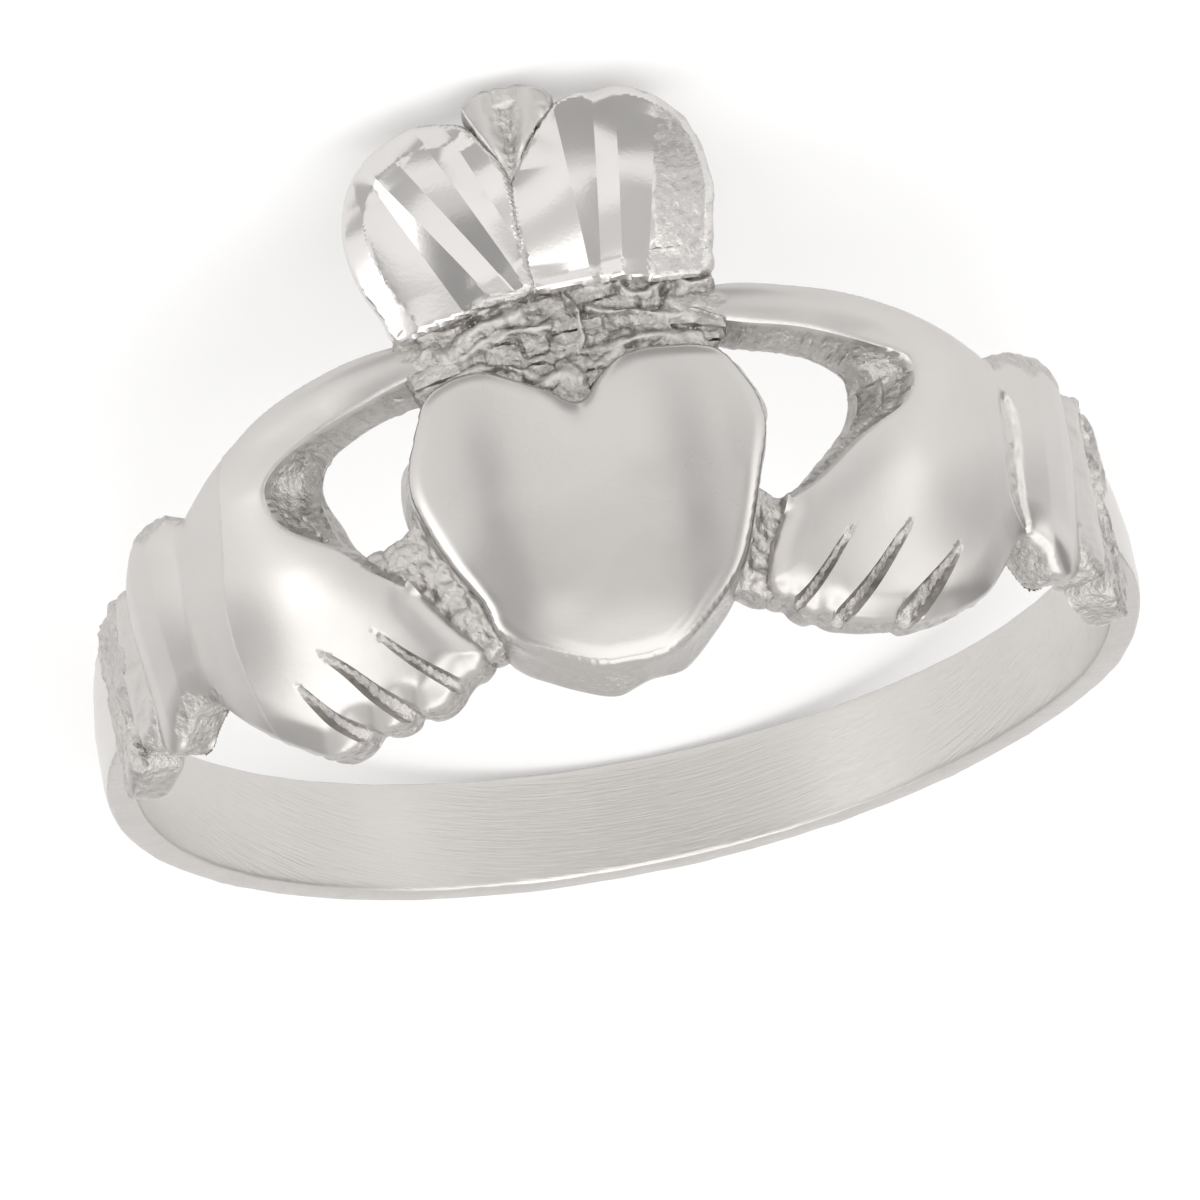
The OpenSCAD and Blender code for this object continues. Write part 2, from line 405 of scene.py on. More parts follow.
class Wires:
    """The nodes and links of one tree, added step by step."""

    def __init__(self, tree: bpy.types.NodeTree) -> None:
        """Starts on a tree."""
        self.nodes, self.links = tree.nodes, tree.links

    def feed(self, value: Value, socket: bpy.types.NodeSocket) -> None:
        """Sets a socket to a number, or links it to another node's output.

        Args:
            value: the number or the output.
            socket: the input that takes it.
        """
        if isinstance(value, bpy.types.NodeSocket):
            self.links.new(value, socket)
        else:
            socket.default_value = value

    def maths(self, kind: Maths, a: Value, b: Value = 0.0) -> bpy.types.NodeSocket:
        """Adds one step of arithmetic.

        Args:
            kind: the step.
            a: its first number.
            b: its second number, where it takes two.

        Returns:
            The output with the result.
        """
        node = self.nodes.new("ShaderNodeMath")
        node.operation = kind.value
        self.feed(a, node.inputs[0])
        self.feed(b, node.inputs[1])
        return node.outputs[0]

    def mix(self, what: Mixed, share: Value, a: float | tuple[float, ...],
            b: float | tuple[float, ...]) -> bpy.types.NodeSocket:
        """Mixes two numbers or colours.

        Args:
            what: whether they are numbers or colours.
            share: share of the second.
            a: the first.
            b: the second.

        Returns:
            The output with the result.
        """
        node = self.nodes.new("ShaderNodeMix")
        node.data_type, first, second, out = what.value
        node.inputs[first].default_value = a
        node.inputs[second].default_value = b
        self.feed(share, node.inputs[0])
        return node.outputs[out]

    def ranged(self, value: Value, source: tuple[float, float],
               target: tuple[float, float]) -> bpy.types.NodeSocket:
        """Maps a value from one range into another.

        Args:
            value: the value.
            source: ends of the range that it comes from.
            target: ends of the range that it goes to.

        Returns:
            The output with the result.
        """
        node = self.nodes.new("ShaderNodeMapRange")
        names = ("From Min", "From Max", "To Min", "To Max")
        for name, number in zip(names, (*source, *target)):
            node.inputs[name].default_value = number
        self.feed(value, node.inputs["Value"])
        return node.outputs["Result"]

    def noise(self, scale: float, detail: float,
              along: Sequence[float] = (1, 1, 1)) -> bpy.types.NodeSocket:
        """Adds noise in the space of the piece.

        Args:
            scale: bumps to the millimetre.
            detail: number of its finer octaves.
            along: how closely the bumps follow each other along x, y and z.

        Returns:
            The output with the noise.
        """
        coords = self.nodes.new("ShaderNodeTexCoord")
        mapping = self.nodes.new("ShaderNodeMapping")
        mapping.inputs["Scale"].default_value = [scale / MM * a for a in along]
        self.links.new(coords.outputs["Object"], mapping.inputs["Vector"])
        tex = self.nodes.new("ShaderNodeTexNoise")
        tex.inputs["Scale"].default_value = 1.0
        tex.inputs["Detail"].default_value = detail
        tex.inputs["Roughness"].default_value = 0.6
        self.links.new(mapping.outputs["Vector"], tex.inputs["Vector"])
        return tex.outputs["Fac"]

    def bump(self, height: bpy.types.NodeSocket, strength: Value,
             depth: float) -> bpy.types.Node:
        """Adds a bump.

        Args:
            height: output with the bump's height.
            strength: share of it that shows.
            depth: its height in metres.

        Returns:
            The bump's node.
        """
        node = self.nodes.new("ShaderNodeBump")
        node.inputs["Distance"].default_value = depth
        self.feed(strength, node.inputs["Strength"])
        self.links.new(height, node.inputs["Height"])
        return node


@dataclass(frozen=True)
class Finish:
    """A finish of the silver.

    Attributes:
        name: name of the material.
        tint: colour of the metal where it is clean.
        hollow: colour towards which the pits of the metal left rough from casting are darkened,
            as painted shade.
        gloss: roughness where it is polished.
        matt: roughness where it is left rough.
        scratch: strength of the fine scratches left by polishing.
        scratch_along: how closely the scratches follow each other along x, y and z.
        grain: strength of the grain on the rough metal.
    """

    name: str
    tint: tuple[float, float, float] = (0.57, 0.553, 0.537)
    hollow: tuple[float, float, float] = (0.47, 0.453, 0.436)
    gloss: float = 0.2
    matt: float = 0.34
    scratch: float = 0.05
    scratch_along: tuple[float, float, float] = (1.0, 1.0, 1.0)
    grain: float = 0.6

    # Noises. Columns: features to the millimetre, finer octaves
    PITS = (8.0, 5.0)
    CLOUDS = (0.5, 3.0)
    SCRATCHES = (14.0, 3.0)
    # Ranges of a noise, and what they turn into
    WEAR = ((0.35, 0.65), (-0.35, 0.35))  # how the polish wore rough metal away
    BARE = ((0.15, 0.9), (0.0, 1.0))  # how rough what it left is
    # painted shade: how far the pits are darkened towards the hollow colour
    SHADE = ((0.38, 0.60), (1.0, 0.12))  # how dark the pits are
    HAZE = ((0.3, 0.7), (-0.04, 0.05))  # how the roughness varies from place to place
    # Depths in metres
    PIT_DEPTH = 0.1 * MM
    SCRATCH_DEPTH = 0.02 * MM

    def build(self) -> bpy.types.Material:
        """Makes the node material of this finish.

        Returns:
            The material.
        """
        mat = bpy.data.materials.new(self.name)
        mat.use_nodes = True
        wires = Wires(mat.node_tree)
        shader = wires.nodes["Principled BSDF"]
        shader.inputs["Metallic"].default_value = 1.0
        attribute = wires.nodes.new("ShaderNodeAttribute")
        attribute.attribute_name = CAST
        cast = attribute.outputs["Fac"]

        pits = wires.noise(*self.PITS)
        worn = wires.maths(Maths.MULTIPLY, wires.ranged(pits, *self.WEAR), cast)
        rough = wires.ranged(wires.maths(Maths.ADD, cast, worn), *self.BARE)
        # Painted shade: the pits of rough metal are darkened towards the hollow colour.
        dark = wires.maths(Maths.MULTIPLY, rough, wires.ranged(pits, *self.SHADE))
        colour = wires.mix(Mixed.COLOUR, dark, (*self.tint, 1), (*self.hollow, 1))
        wires.feed(colour, shader.inputs["Base Color"])

        haze = wires.ranged(wires.noise(*self.CLOUDS), *self.HAZE)
        gloss = wires.mix(Mixed.NUMBER, rough, self.gloss, self.matt)
        wires.feed(wires.maths(Maths.ADD, gloss, haze), shader.inputs["Roughness"])

        lines = wires.noise(*self.SCRATCHES, self.scratch_along)
        scratches = wires.bump(lines, self.scratch, self.SCRATCH_DEPTH)
        strength = wires.maths(Maths.MULTIPLY, rough, self.grain)
        grain = wires.bump(pits, strength, self.PIT_DEPTH)
        wires.feed(scratches.outputs["Normal"], grain.inputs["Normal"])
        wires.feed(grain.outputs["Normal"], shader.inputs["Normal"])
        return mat


class Silver(Enum):
    """The finishes of the ring."""

    # Their tints differ: the cut facets and the band are painted brighter, and the crown's base
    # darker, as painted light and shade.
    # the heart's face
    POLISHED = Finish("polished_silver", tint=(0.55, 0.534, 0.518), gloss=0.25)
    # the hands, joints, cuffs, shoulders and fan
    SATIN = Finish("satin_silver", gloss=0.33, scratch=0.08)
    # the crown's facets, their tint painted brighter as painted light
    CUT = Finish("diamond_cut_silver", tint=(0.68, 0.663, 0.648), gloss=0.13)
    # the band, brushed round the finger, its tint painted brighter as painted light
    BRUSHED = Finish(
        "brushed_silver", tint=(0.65, 0.631, 0.613), gloss=0.33, scratch=0.6,
        scratch_along=(0.08, 0.08, 1.6),
    )
    # the crown's base: a darker tint as painted shade, and painted shade darkest in its pits and
    # the hollows between its ropes
    ROUGH = Finish(
        "cast_silver", tint=(0.52, 0.505, 0.49), hollow=(0.30, 0.286, 0.272), gloss=0.36,
    )


Finishes = dict[Silver, bpy.types.Material]


# Meshes


def finish_mesh(name: str, vertices: Points, faces: Sequence[Sequence[int]], cast: np.ndarray,
                material: bpy.types.Material, crease: float) -> bpy.types.Object:
    """Makes an object of the ring from its points in the frame.

    Args:
        name: name of the piece.
        vertices: rows of x, y and z in metres.
        faces: corners of each face, anticlockwise from outside.
        cast: how rough each vertex is, 0 to 1, which also sets how much painted shade darkens
            its pits.
        material: finish of the piece.
        crease: angle in degrees past which an edge stays sharp.

    Returns:
        The new object, linked to the scene.
    """
    mesh = bpy.data.meshes.new(name)
    mesh.from_pydata([tuple(v) for v in vertices], [], faces)
    mesh.attributes.new(CAST, "FLOAT", "POINT").data.foreach_set("value", cast)
    mesh.shade_smooth()
    mesh.set_sharp_from_angle(angle=math.radians(crease))
    mesh.materials.append(material)
    mesh.update()
    piece = bpy.data.objects.new(name, mesh)
    bpy.context.scene.collection.objects.link(piece)
    return piece


def dress(piece: bpy.types.Object) -> bpy.types.Object:
    """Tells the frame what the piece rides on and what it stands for.

    Args:
        piece: the finished piece.

    Returns:
        The same piece.
    """
    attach(piece, BODY)
    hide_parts(NODE)
    triangles = sum(len(p.vertices) - 2 for p in piece.data.polygons)
    log.info("%s: %d triangles", piece.name, triangles)
    return piece


@dataclass
class Relief:
    """A closed solid raised from the finger inside an outline on the unrolled ring.

    Attributes:
        name: name of the piece.
        outline: knots of the outline.
        height: rise at rows of s and z, given their depth inside the outline.
        cast: roughness at the same rows, which also sets how much painted shade darkens the
            pits.
        wall_cast: roughness of the walls at rows of s and z and at a share down the wall, which
            also sets their painted shade.
        draft: how far the wall's foot stands out from its top, at rows of s and z.
        creases: lines that the mesh follows, such as the edges of facets.
        grain: distance between the points of the mesh.
        back: rise of the back, which lies on the finger.
        back_cast: roughness of the back.
        bumps: height of the rough metal's bumps.
        bump_size: distance between them.
        wall_rows: rows of faces down the wall.
        crease: angle in degrees past which an edge stays sharp.
        seed: number that fixes the bumps.
    """

    name: str
    outline: Sequence[Sequence[float]]
    height: Field
    cast: Field = field(default=lambda q, depth: np.zeros(len(q)))
    wall_cast: Field = field(default=lambda q, share: np.ones(len(q)))
    draft: Callable[[Points], np.ndarray] = field(default=lambda q: np.zeros(len(q)))
    creases: Sequence[Points] = ()
    grain: float = 0.06
    back: float = 0.08
    back_cast: float = 0.12
    bumps: float = 0.05
    bump_size: float = 0.35
    wall_rows: int = 7
    crease: float = 50.0
    seed: int = 1

    # Distances between the mesh's points, as shares of the grain
    ROWS = 0.87  # from row to row, for triangles of even size
    OFF_RIM = 0.55  # from the outline
    OFF_CREASE = 0.5  # from a crease
    WELD = 1e-7  # distance below which two points are one

    def flat_mesh(self) -> tuple[Points, list[list[int]]]:
        """Fills the outline with triangles of even size.

        Returns:
            Rows of s and z, and the corners of each triangle, anticlockwise.
        """
        g = self.grain
        loop = smooth_line(self.outline, g, True)
        nxt = np.roll(loop, -1, axis=0)
        if (loop[:, 0] * nxt[:, 1] - loop[:, 1] * nxt[:, 0]).sum() < 0:
            loop = loop[::-1]
        lo, hi = loop.min(axis=0), loop.max(axis=0)
        cols = np.arange(lo[0], hi[0], g)
        rows = np.arange(lo[1], hi[1], g * self.ROWS)
        grid = np.array([(c + g / 2 * (i % 2), r) for i, r in enumerate(rows) for c in cols])
        grid = grid[inside(grid, loop)]
        grid = grid[distance(grid, loop, True)[0] > self.OFF_RIM * g]
        edges, start = [], len(loop)
        for line in self.creases:
            grid = grid[distance(grid, line, False)[0] > self.OFF_CREASE * g]
            edges += [(start + i, start + i + 1) for i in range(len(line) - 1)]
            start += len(line)
        flat = np.vstack([loop, *self.creases, grid])
        verts, _, faces, *_ = delaunay_2d_cdt(
            [Vector(p) for p in flat], edges, [list(range(len(loop)))], 1, self.WELD
        )
        return np.array([tuple(v) for v in verts]), [list(f) for f in faces]

    def rim_of(self, faces: Sequence[list[int]]) -> list[int]:
        """Finds the vertices round the edge of a sheet.

        Args:
            faces: corners of the sheet's faces, anticlockwise.

        Returns:
            The vertices in their order round the sheet, anticlockwise.
        """
        sides = dict.fromkeys((a, b) for f in faces for a, b in zip(f, f[1:] + f[:1]))
        after = {a: b for a, b in sides if (b, a) not in sides}
        first = next(iter(after))
        rim = [first]
        while after[rim[-1]] != first:
            rim.append(after[rim[-1]])
        if len(rim) != len(after):
            log.warning("%s: the outline isn't one loop", self.name)
        return rim

    def foot_of(self, rim: Points) -> Points:
        """Finds where the wall under the rim stands on the back.

        Args:
            rim: rows of s and z round the rim, anticlockwise.

        Returns:
            Rows of s and z of the wall's foot.
        """
        along = np.roll(rim, -1, axis=0) - np.roll(rim, 1, axis=0)
        out = np.column_stack((along[:, 1], -along[:, 0]))
        out /= np.maximum(np.linalg.norm(out, axis=1), 1e-9)[:, None]
        return rim + out * self.draft(rim)[:, None]

    def build(self, material: bpy.types.Material) -> bpy.types.Object:
        """Makes the piece, with its top, walls and back.

        Args:
            material: finish of the piece.

        Returns:
            The piece, dressed.
        """
        flat, top = self.flat_mesh()
        rim = self.rim_of(top)
        edge = flat[rim]
        foot = self.foot_of(edge)
        depth = distance(flat, edge, True)[0]
        rise = self.height(flat, depth)
        vertices, cast = [PLACE.wrap(flat, rise)], [self.cast(flat, depth)]
        faces, upper, start = list(top), rim, len(flat)
        for row in range(1, self.wall_rows):
            share = row / self.wall_rows
            ring = blend(edge, foot, share)
            vertices.append(PLACE.wrap(ring, blend(rise[rim], self.back, share)))
            cast.append(self.wall_cast(ring, np.full(len(rim), share)))
            lower = list(range(start, start + len(rim)))
            faces += wall(upper, lower)
            upper, start = lower, start + len(rim)
        # the back: the same triangles, moved out to the foot of the wall
        flat[rim] = foot
        vertices.append(PLACE.wrap(flat, np.full(len(flat), self.back)))
        cast.append(np.full(len(flat), self.back_cast))
        faces += wall(upper, [start + i for i in rim])
        faces += [[start + i for i in reversed(f)] for f in top]
        rough = np.clip(np.concatenate(cast), 0, 1)
        spots = roughen(
            np.vstack(vertices), faces, rough, self.bumps, self.bump_size, self.seed, start
        )
        return dress(
            finish_mesh(self.name, PLACE.lay(spots), faces, rough, material, self.crease)
        )


def wall(upper: Sequence[int], lower: Sequence[int]) -> list[list[int]]:
    """Makes the faces between two closed rows of the same length.

    Args:
        upper: vertices of the upper row, anticlockwise seen from above.
        lower: vertices of the lower row, in the same order.

    Returns:
        Corners of each face, anticlockwise from outside.
    """
    m = len(upper)
    return [
        [upper[i], lower[i], lower[(i + 1) % m], upper[(i + 1) % m]] for i in range(m)
    ]


def roughen(spots: Points, faces: Sequence[Sequence[int]], rough: np.ndarray, bumps: float,
            size: float, seed: int, fixed_from: int) -> Points:
    """Moves the points of rough metal in and out.

    Args:
        spots: rows of x, y and z in millimetres.
        faces: the mesh's faces.
        rough: how rough each point is, 0 to 1.
        bumps: height of the bumps.
        size: distance between them.
        seed: number that fixes the pattern.
        fixed_from: first row of the hidden back, which stays.

    Returns:
        The moved points.
    """
    mesh = bpy.data.meshes.new("scratch")
    mesh.from_pydata([tuple(v) for v in spots], [], faces)
    normals = np.zeros(len(spots) * 3)
    mesh.vertices.foreach_get("normal", normals)
    bpy.data.meshes.remove(mesh)
    move = rough_noise(spots, size, seed) * bumps * rough
    move[fixed_from:] = 0
    return spots + normals.reshape(-1, 3) * move[:, None]


# The ring's forms


@dataclass
class Groove:
    """A groove with steep sides, cut into a form along a line.

    Attributes:
        knots: knots of its line, from its shallow end to its deep end.
        width: full width at both ends.
        depth: depth at its deep end.
        reach: share of its length over which it deepens.
        steep: share of the half width that its sides take up.
        close: share of its length over which its deep end narrows, 0 for an open end.
    """

    knots: Sequence[tuple[float, float]]
    width: tuple[float, float]
    depth: float
    reach: float = 0.5
    steep: float = 0.45
    close: float = 0.0

    POINT = 6.0  # the shallow end widens over one part in this many of the length

    def line(self) -> Points:
        """The groove's middle line."""
        return smooth_line(self.knots, STEP, False)

    def half_width(self, share: np.ndarray) -> np.ndarray:
        """Half of the groove's width.

        Args:
            share: shares of the length.

        Returns:
            Half of the width at each.
        """
        wide = 0.5 * blend(*self.width, share) * np.sqrt(np.clip(share * self.POINT, 0, 1))
        if self.close:
            wide = wide * np.sqrt(np.clip((1 - share) / self.close, 0, 1))
        return wide

    def edges(self) -> list[Points]:
        """Draws the groove's two rims, which the mesh follows.

        Returns:
            Rows of s and z of each rim.
        """
        line = self.line()
        along = np.gradient(line, axis=0)
        along /= np.linalg.norm(along, axis=1)[:, None]
        side = np.column_stack((along[:, 1], -along[:, 0]))
        wide = self.half_width(np.linspace(0, 1, len(line)))[:, None]
        return [(line + side * wide * k)[1:] for k in (-1, 1)]

    def cut(self, q: Points) -> tuple[np.ndarray, np.ndarray]:
        """Depth of the cut.

        Args:
            q: rows of s and z.

        Returns:
            The depth at each row, and how far it lies in the groove's bottom, 0 to 1.
        """
        gap, share = distance(q, self.line(), False)
        wide = np.maximum(self.half_width(share), 1e-3)
        inner = ease((1 - gap / wide) / self.steep)
        return self.depth * ease(share / self.reach) * inner, inner


@dataclass
class Heart:
    """The domed heart, with a crisp rim and a steep rough wall.

    Attributes:
        rim_rise: rise of the dome's foot.
        dome: rise of the dome above it.
        middle: s and z of the dome's top.
        reach: reach of the dome along s and z.
        crisp: the rim's crisp edge.
        soft: the softer rounding inside it.
        cleft: depth of the hollow below the cleft.
        polish: height of the waves that polishing left.
        foot_out: how far the wall's foot stands out everywhere, and how much more it does at
            the lower left, the lower right, the left and the right.
        outline: knots of the outline.
    """

    rim_rise: float = 1.12
    dome: float = 0.24
    middle: tuple[float, float] = (0.0, -0.9)
    reach: tuple[float, float] = (3.3, 3.4)
    crisp: Rounding = Rounding(0.05, 0.06)
    soft: Rounding = Rounding(0.12, 0.34)
    cleft: float = 0.08
    polish: float = 0.010
    foot_out: tuple[float, ...] = (0.02, 0.19, 0.12, 0.53, 0.47)
    outline: Sequence[tuple[float, float]] = (
        (0.05, 1.00), (0.22, 1.08), (0.41, 1.34), (0.70, 1.59), (1.03, 1.75), (1.40, 1.81),
        (1.85, 1.82), (2.36, 1.79), (2.69, 1.70), (2.92, 1.48), (3.15, 1.10), (3.32, 0.70),
        (3.37, 0.26), (3.29, -0.10), (3.08, -0.67), (2.85, -1.35), (2.65, -1.89),
        (2.42, -2.40), (2.12, -2.81), (1.73, -3.20), (1.28, -3.60), (0.86, -3.87),
        (0.45, -3.93), (0.00, -3.94), (-0.38, -3.92), (-0.95, -3.71), (-1.47, -3.45),
        (-1.90, -3.20), (-2.22, -2.86), (-2.30, -2.46), (-2.49, -2.04), (-2.76, -1.56),
        (-2.98, -1.07), (-3.15, -0.59), (-3.27, -0.16), (-3.32, 0.20), (-3.27, 0.55),
        (-3.10, 0.98), (-2.91, 1.43), (-2.77, 1.68), (-2.52, 1.86), (-2.20, 1.95),
        (-1.86, 1.97), (-1.50, 1.90), (-1.12, 1.70), (-0.76, 1.47), (-0.40, 1.26),
        (-0.16, 1.06),
    )

    def height(self, q: Points, depth: np.ndarray) -> np.ndarray:
        """Rise of the face: a low dome inside a crisp rounded rim.

        Args:
            q: rows of s and z.
            depth: depth of each row inside the outline.

        Returns:
            The rise of each row.
        """
        u = (q[:, 0] - self.middle[0]) / self.reach[0]
        v = (q[:, 1] - self.middle[1]) / self.reach[1]
        dome = self.dome * (1 - np.clip(u * u + v * v, 0, 1.3))
        rim = self.crisp.fall(depth) + self.soft.fall(depth)
        cleft = self.cleft * swell(q[:, 0], 0.0, 0.30) * swell(q[:, 1], 1.15, 0.55)
        waves = self.polish * lattice_noise(level(q), 1.1, 5)
        return self.rim_rise + dome - rim - cleft + waves

    def draft(self, q: Points) -> np.ndarray:
        """The wall runs out a little at the sides, and more in the lower left.

        Args:
            q: rows of s and z.

        Returns:
            How far the wall's foot stands out at each row.
        """
        x, z = q[:, 0], q[:, 1]
        places = (
            1.0,
            ramp(x, 0.5, -0.3) * ramp(z, -2.5, -3.1),
            ramp(x, 0.7, 1.2) * ramp(z, -1.4, -2.0),
            ramp(x, -2.6, -3.0) * ramp(z, -1.5, -0.9) * ramp(z, 1.1, 0.6),
            ramp(x, 2.6, 3.0) * ramp(z, 0.1, 0.7),
        )
        return sum(out * place for out, place in zip(self.foot_out, places))

    def build(self, finishes: Finishes) -> None:
        """Makes the heart.

        Args:
            finishes: material of each finish.
        """
        Relief(
            "heart", self.outline, self.height, draft=self.draft, grain=0.055, back=0.035,
            cast=lambda q, depth: 0.35 * (1 - ease(depth / 0.05)),
            wall_cast=lambda q, share: 0.45 + 0.4 * share, bumps=0.05, bump_size=0.4, seed=11,
        ).build(finishes[Silver.POLISHED])


@dataclass
class Hand:
    """A hand: thumb above, palm, and four fingers that reach under the heart.

    The outline follows the pierced gap's inner edge. From the crisp edge of the hand's back
    a rough slope leads down to it. The large roll of the cuff is part of the hand.

    Attributes:
        side: side of the heart.
        palm_rise: rise of the palm.
        finger_rise: rise of the fingers.
        thumb_rise: rise of the thumb.
        ball: how much the middle of the palm swells.
        wrist: fall from the palm to the wrist.
        fold_fall: fall at the fold across the left hand, and further behind it.
        rounding: the outer edge.
        curl: how much more the fingers' tips drop.
        gap_rounding: the edge above the gap.
        knob_under: how far the underside of the cuff's knob slopes in, and how far beside it.
    """

    side: Side
    palm_rise: float = 1.22
    finger_rise: float = 1.0
    thumb_rise: float = 0.94
    ball: float = 0.07
    wrist: float = 0.06
    fold_fall: tuple[float, float] = (0.025, 0.15)
    rounding: Rounding = Rounding(0.24, 0.65)
    curl: float = 0.10
    gap_rounding: Rounding = Rounding(0.08, 0.8)
    knob_under: tuple[float, float] = (0.22, 0.07)

    OUTLINE_STEP = 0.06  # between the knots that the mesh takes from the outer edge
    CLEAR = 0.045  # least distance of the mesh's lines from the outline
    GAP_LENGTH = 8.0  # of the gap's edge
    GAP_STEPS = 14  # points of the gap's edge between two of its knots
    AT_FOOT = 0.004  # distance at which a point lies on the slope's foot
    # The slope's fall. Columns: share of the fall, and where it starts and ends on the way
    # down: a sharp drop behind the edge, a shelf, and a second drop to the foot
    FALLS = ((0.30, 0.0, 0.14), (0.25, 0.14, 0.56), (0.45, 0.6, 1.0))
    # The thin ridge on the shelf: its rise, its place on the way down and its reach
    RIDGE = (0.05, 0.56, 0.07)
    # Streaks down the slope: their height, and how closely they follow each other down it
    # and along it
    STREAKS = (0.05, (6.0, 0.9))

    # Outer edge of a hand, from the thumb's end round the cuff's roll to the first finger
    OUTER = {
        Side.RIGHT: (
            (1.90, 2.30), (1.90, 2.84), (2.76, 2.93), (3.40, 2.95), (4.25, 2.88), (5.32, 2.74),
            (6.41, 2.42), (7.50, 1.95), (8.06, 1.68), (8.24, 1.58), (8.44, 1.66), (8.70, 1.75),
            (9.10, 1.81), (9.60, 1.83), (10.04, 1.79), (10.40, 1.60), (10.58, 1.20),
            (10.60, 0.63), (10.66, -0.05), (10.68, -0.80), (10.64, -1.50), (10.44, -1.94),
            (10.04, -2.18), (9.62, -2.24), (9.30, -2.08), (8.98, -1.80), (8.74, -1.66),
            (8.56, -1.70), (8.34, -1.92), (8.02, -2.33), (7.40, -2.91),
            (6.76, -3.22), (6.30, -3.35), (5.98, -3.44), (5.72, -3.47), (5.56, -3.40),
            (5.38, -3.42), (4.90, -3.45), (4.50, -3.43), (4.22, -3.40), (4.06, -3.34),
            (3.92, -3.26), (3.68, -3.28), (3.44, -3.16), (3.31, -3.00), (3.14, -2.98),
            (2.98, -2.90), (2.86, -2.74), (2.92, -2.38), (3.08, -2.01), (3.33, -1.53),
        ),
        Side.LEFT: (
            (-1.90, 2.10), (-1.90, 2.78), (-2.70, 2.86), (-3.30, 2.92), (-4.25, 2.90),
            (-5.32, 2.73), (-6.10, 2.48), (-6.80, 2.12), (-7.50, 1.80), (-8.14, 1.52),
            (-8.34, 1.44), (-8.52, 1.54), (-8.80, 1.66), (-9.20, 1.70), (-9.62, 1.60),
            (-10.02, 1.32), (-10.34, 0.92), (-10.48, 0.40), (-10.50, -0.30), (-10.54, -1.00),
            (-10.62, -1.60), (-10.52, -2.08), (-10.20, -2.32), (-9.85, -2.32),
            (-9.53, -2.12), (-9.20, -1.94), (-8.86, -1.85), (-8.58, -1.95), (-8.30, -2.20),
            (-8.03, -2.46), (-7.50, -2.90), (-7.08, -3.24), (-6.50, -3.64), (-6.00, -3.92),
            (-5.62, -3.92), (-5.36, -3.82), (-5.14, -3.68), (-4.90, -3.78), (-4.60, -3.82),
            (-4.36, -3.76), (-4.22, -3.62), (-4.00, -3.74), (-3.70, -3.76), (-3.40, -3.64),
            (-3.20, -3.46), (-3.02, -3.34), (-2.78, -3.30), (-2.58, -3.14), (-2.56, -2.99),
            (-2.82, -2.67), (-3.13, -2.26), (-3.43, -1.79),
        ),
    }
    # The gap's edges, from the first finger's root over the palm and back along the thumb.
    # Columns: s and z of the crisp edge, s and z of the slope's foot, rise of the foot
    GAP = {
        Side.RIGHT: (
            (3.44, -1.32, 3.40, -1.22, 0.72), (3.94, -1.03, 3.80, -0.94, 0.68),
            (4.41, -0.67, 4.28, -0.58, 0.64), (4.85, -0.29, 4.68, -0.22, 0.60),
            (5.41, 0.09, 5.10, 0.12, 0.50), (5.92, 0.36, 5.38, 0.40, 0.34),
            (6.20, 0.66, 5.58, 0.72, 0.24), (6.38, 1.02, 5.66, 1.04, 0.16),
            (6.38, 1.34, 5.64, 1.34, 0.14), (6.10, 1.50, 5.38, 1.54, 0.14),
            (5.72, 1.62, 5.05, 1.68, 0.14), (5.30, 1.79, 4.72, 1.80, 0.14),
            (4.65, 1.98, 4.30, 1.87, 0.14), (3.98, 2.08, 3.86, 1.92, 0.14),
            (3.46, 2.12, 3.43, 1.97, 0.14), (2.90, 2.22, 2.90, 2.08, 0.14),
        ),
        Side.LEFT: (
            (-3.66, -1.60, -3.56, -1.50, 0.72), (-4.00, -1.33, -3.90, -1.24, 0.70),
            (-4.29, -1.08, -4.18, -0.98, 0.68), (-4.57, -0.74, -4.48, -0.70, 0.66),
            (-4.78, -0.50, -4.70, -0.48, 0.66), (-5.10, -0.28, -4.96, -0.30, 0.60),
            (-5.42, -0.06, -5.12, -0.02, 0.50), (-5.80, 0.26, -5.24, 0.34, 0.34),
            (-6.01, 0.64, -5.46, 0.70, 0.20), (-6.07, 1.04, -5.56, 1.04, 0.14),
            (-5.88, 1.32, -5.46, 1.33, 0.14), (-5.46, 1.58, -5.22, 1.57, 0.14),
            (-4.94, 1.78, -4.86, 1.70, 0.14), (-4.42, 1.92, -4.38, 1.82, 0.14),
            (-3.93, 2.00, -3.90, 1.91, 0.14), (-3.40, 2.12, -3.40, 1.96, 0.14),
            (-2.70, 2.22, -2.80, 1.94, 0.14),
        ),
    }
    GROOVES = {
        Side.RIGHT: (
            Groove(((4.60, -1.82), (4.29, -2.17), (3.95, -2.58), (3.59, -2.96), (3.24, -3.22)),
                   (0.14, 0.24), 0.30),
            Groove(((5.80, -1.68), (5.46, -2.08), (5.04, -2.58), (4.62, -3.02), (4.10, -3.50)),
                   (0.16, 0.34), 0.34),
            Groove(((6.86, -2.00), (6.53, -2.40), (6.12, -2.83), (5.56, -3.40)),
                   (0.12, 0.52), 0.32),
        ),
        Side.LEFT: (
            Groove(((-4.46, -2.14), (-3.96, -2.74), (-3.55, -3.16), (-3.12, -3.54)),
                   (0.12, 0.28), 0.20),
            Groove(((-5.66, -2.10), (-5.14, -2.66), (-4.71, -3.20), (-4.20, -3.76)),
                   (0.14, 0.40), 0.26),
            Groove(((-6.26, -2.50), (-5.93, -3.00), (-5.57, -3.46), (-5.10, -3.88)),
                   (0.14, 0.36), 0.24),
        ),
    }
    # Fold across the back of the left hand, from its upper edge to its lower edge
    CREASE = ((-6.80, 2.40), (-6.90, 1.98), (-7.04, 0.95), (-7.18, 0.10), (-7.32, -0.70),
              (-7.36, -1.36), (-7.26, -2.17), (-7.08, -2.90))
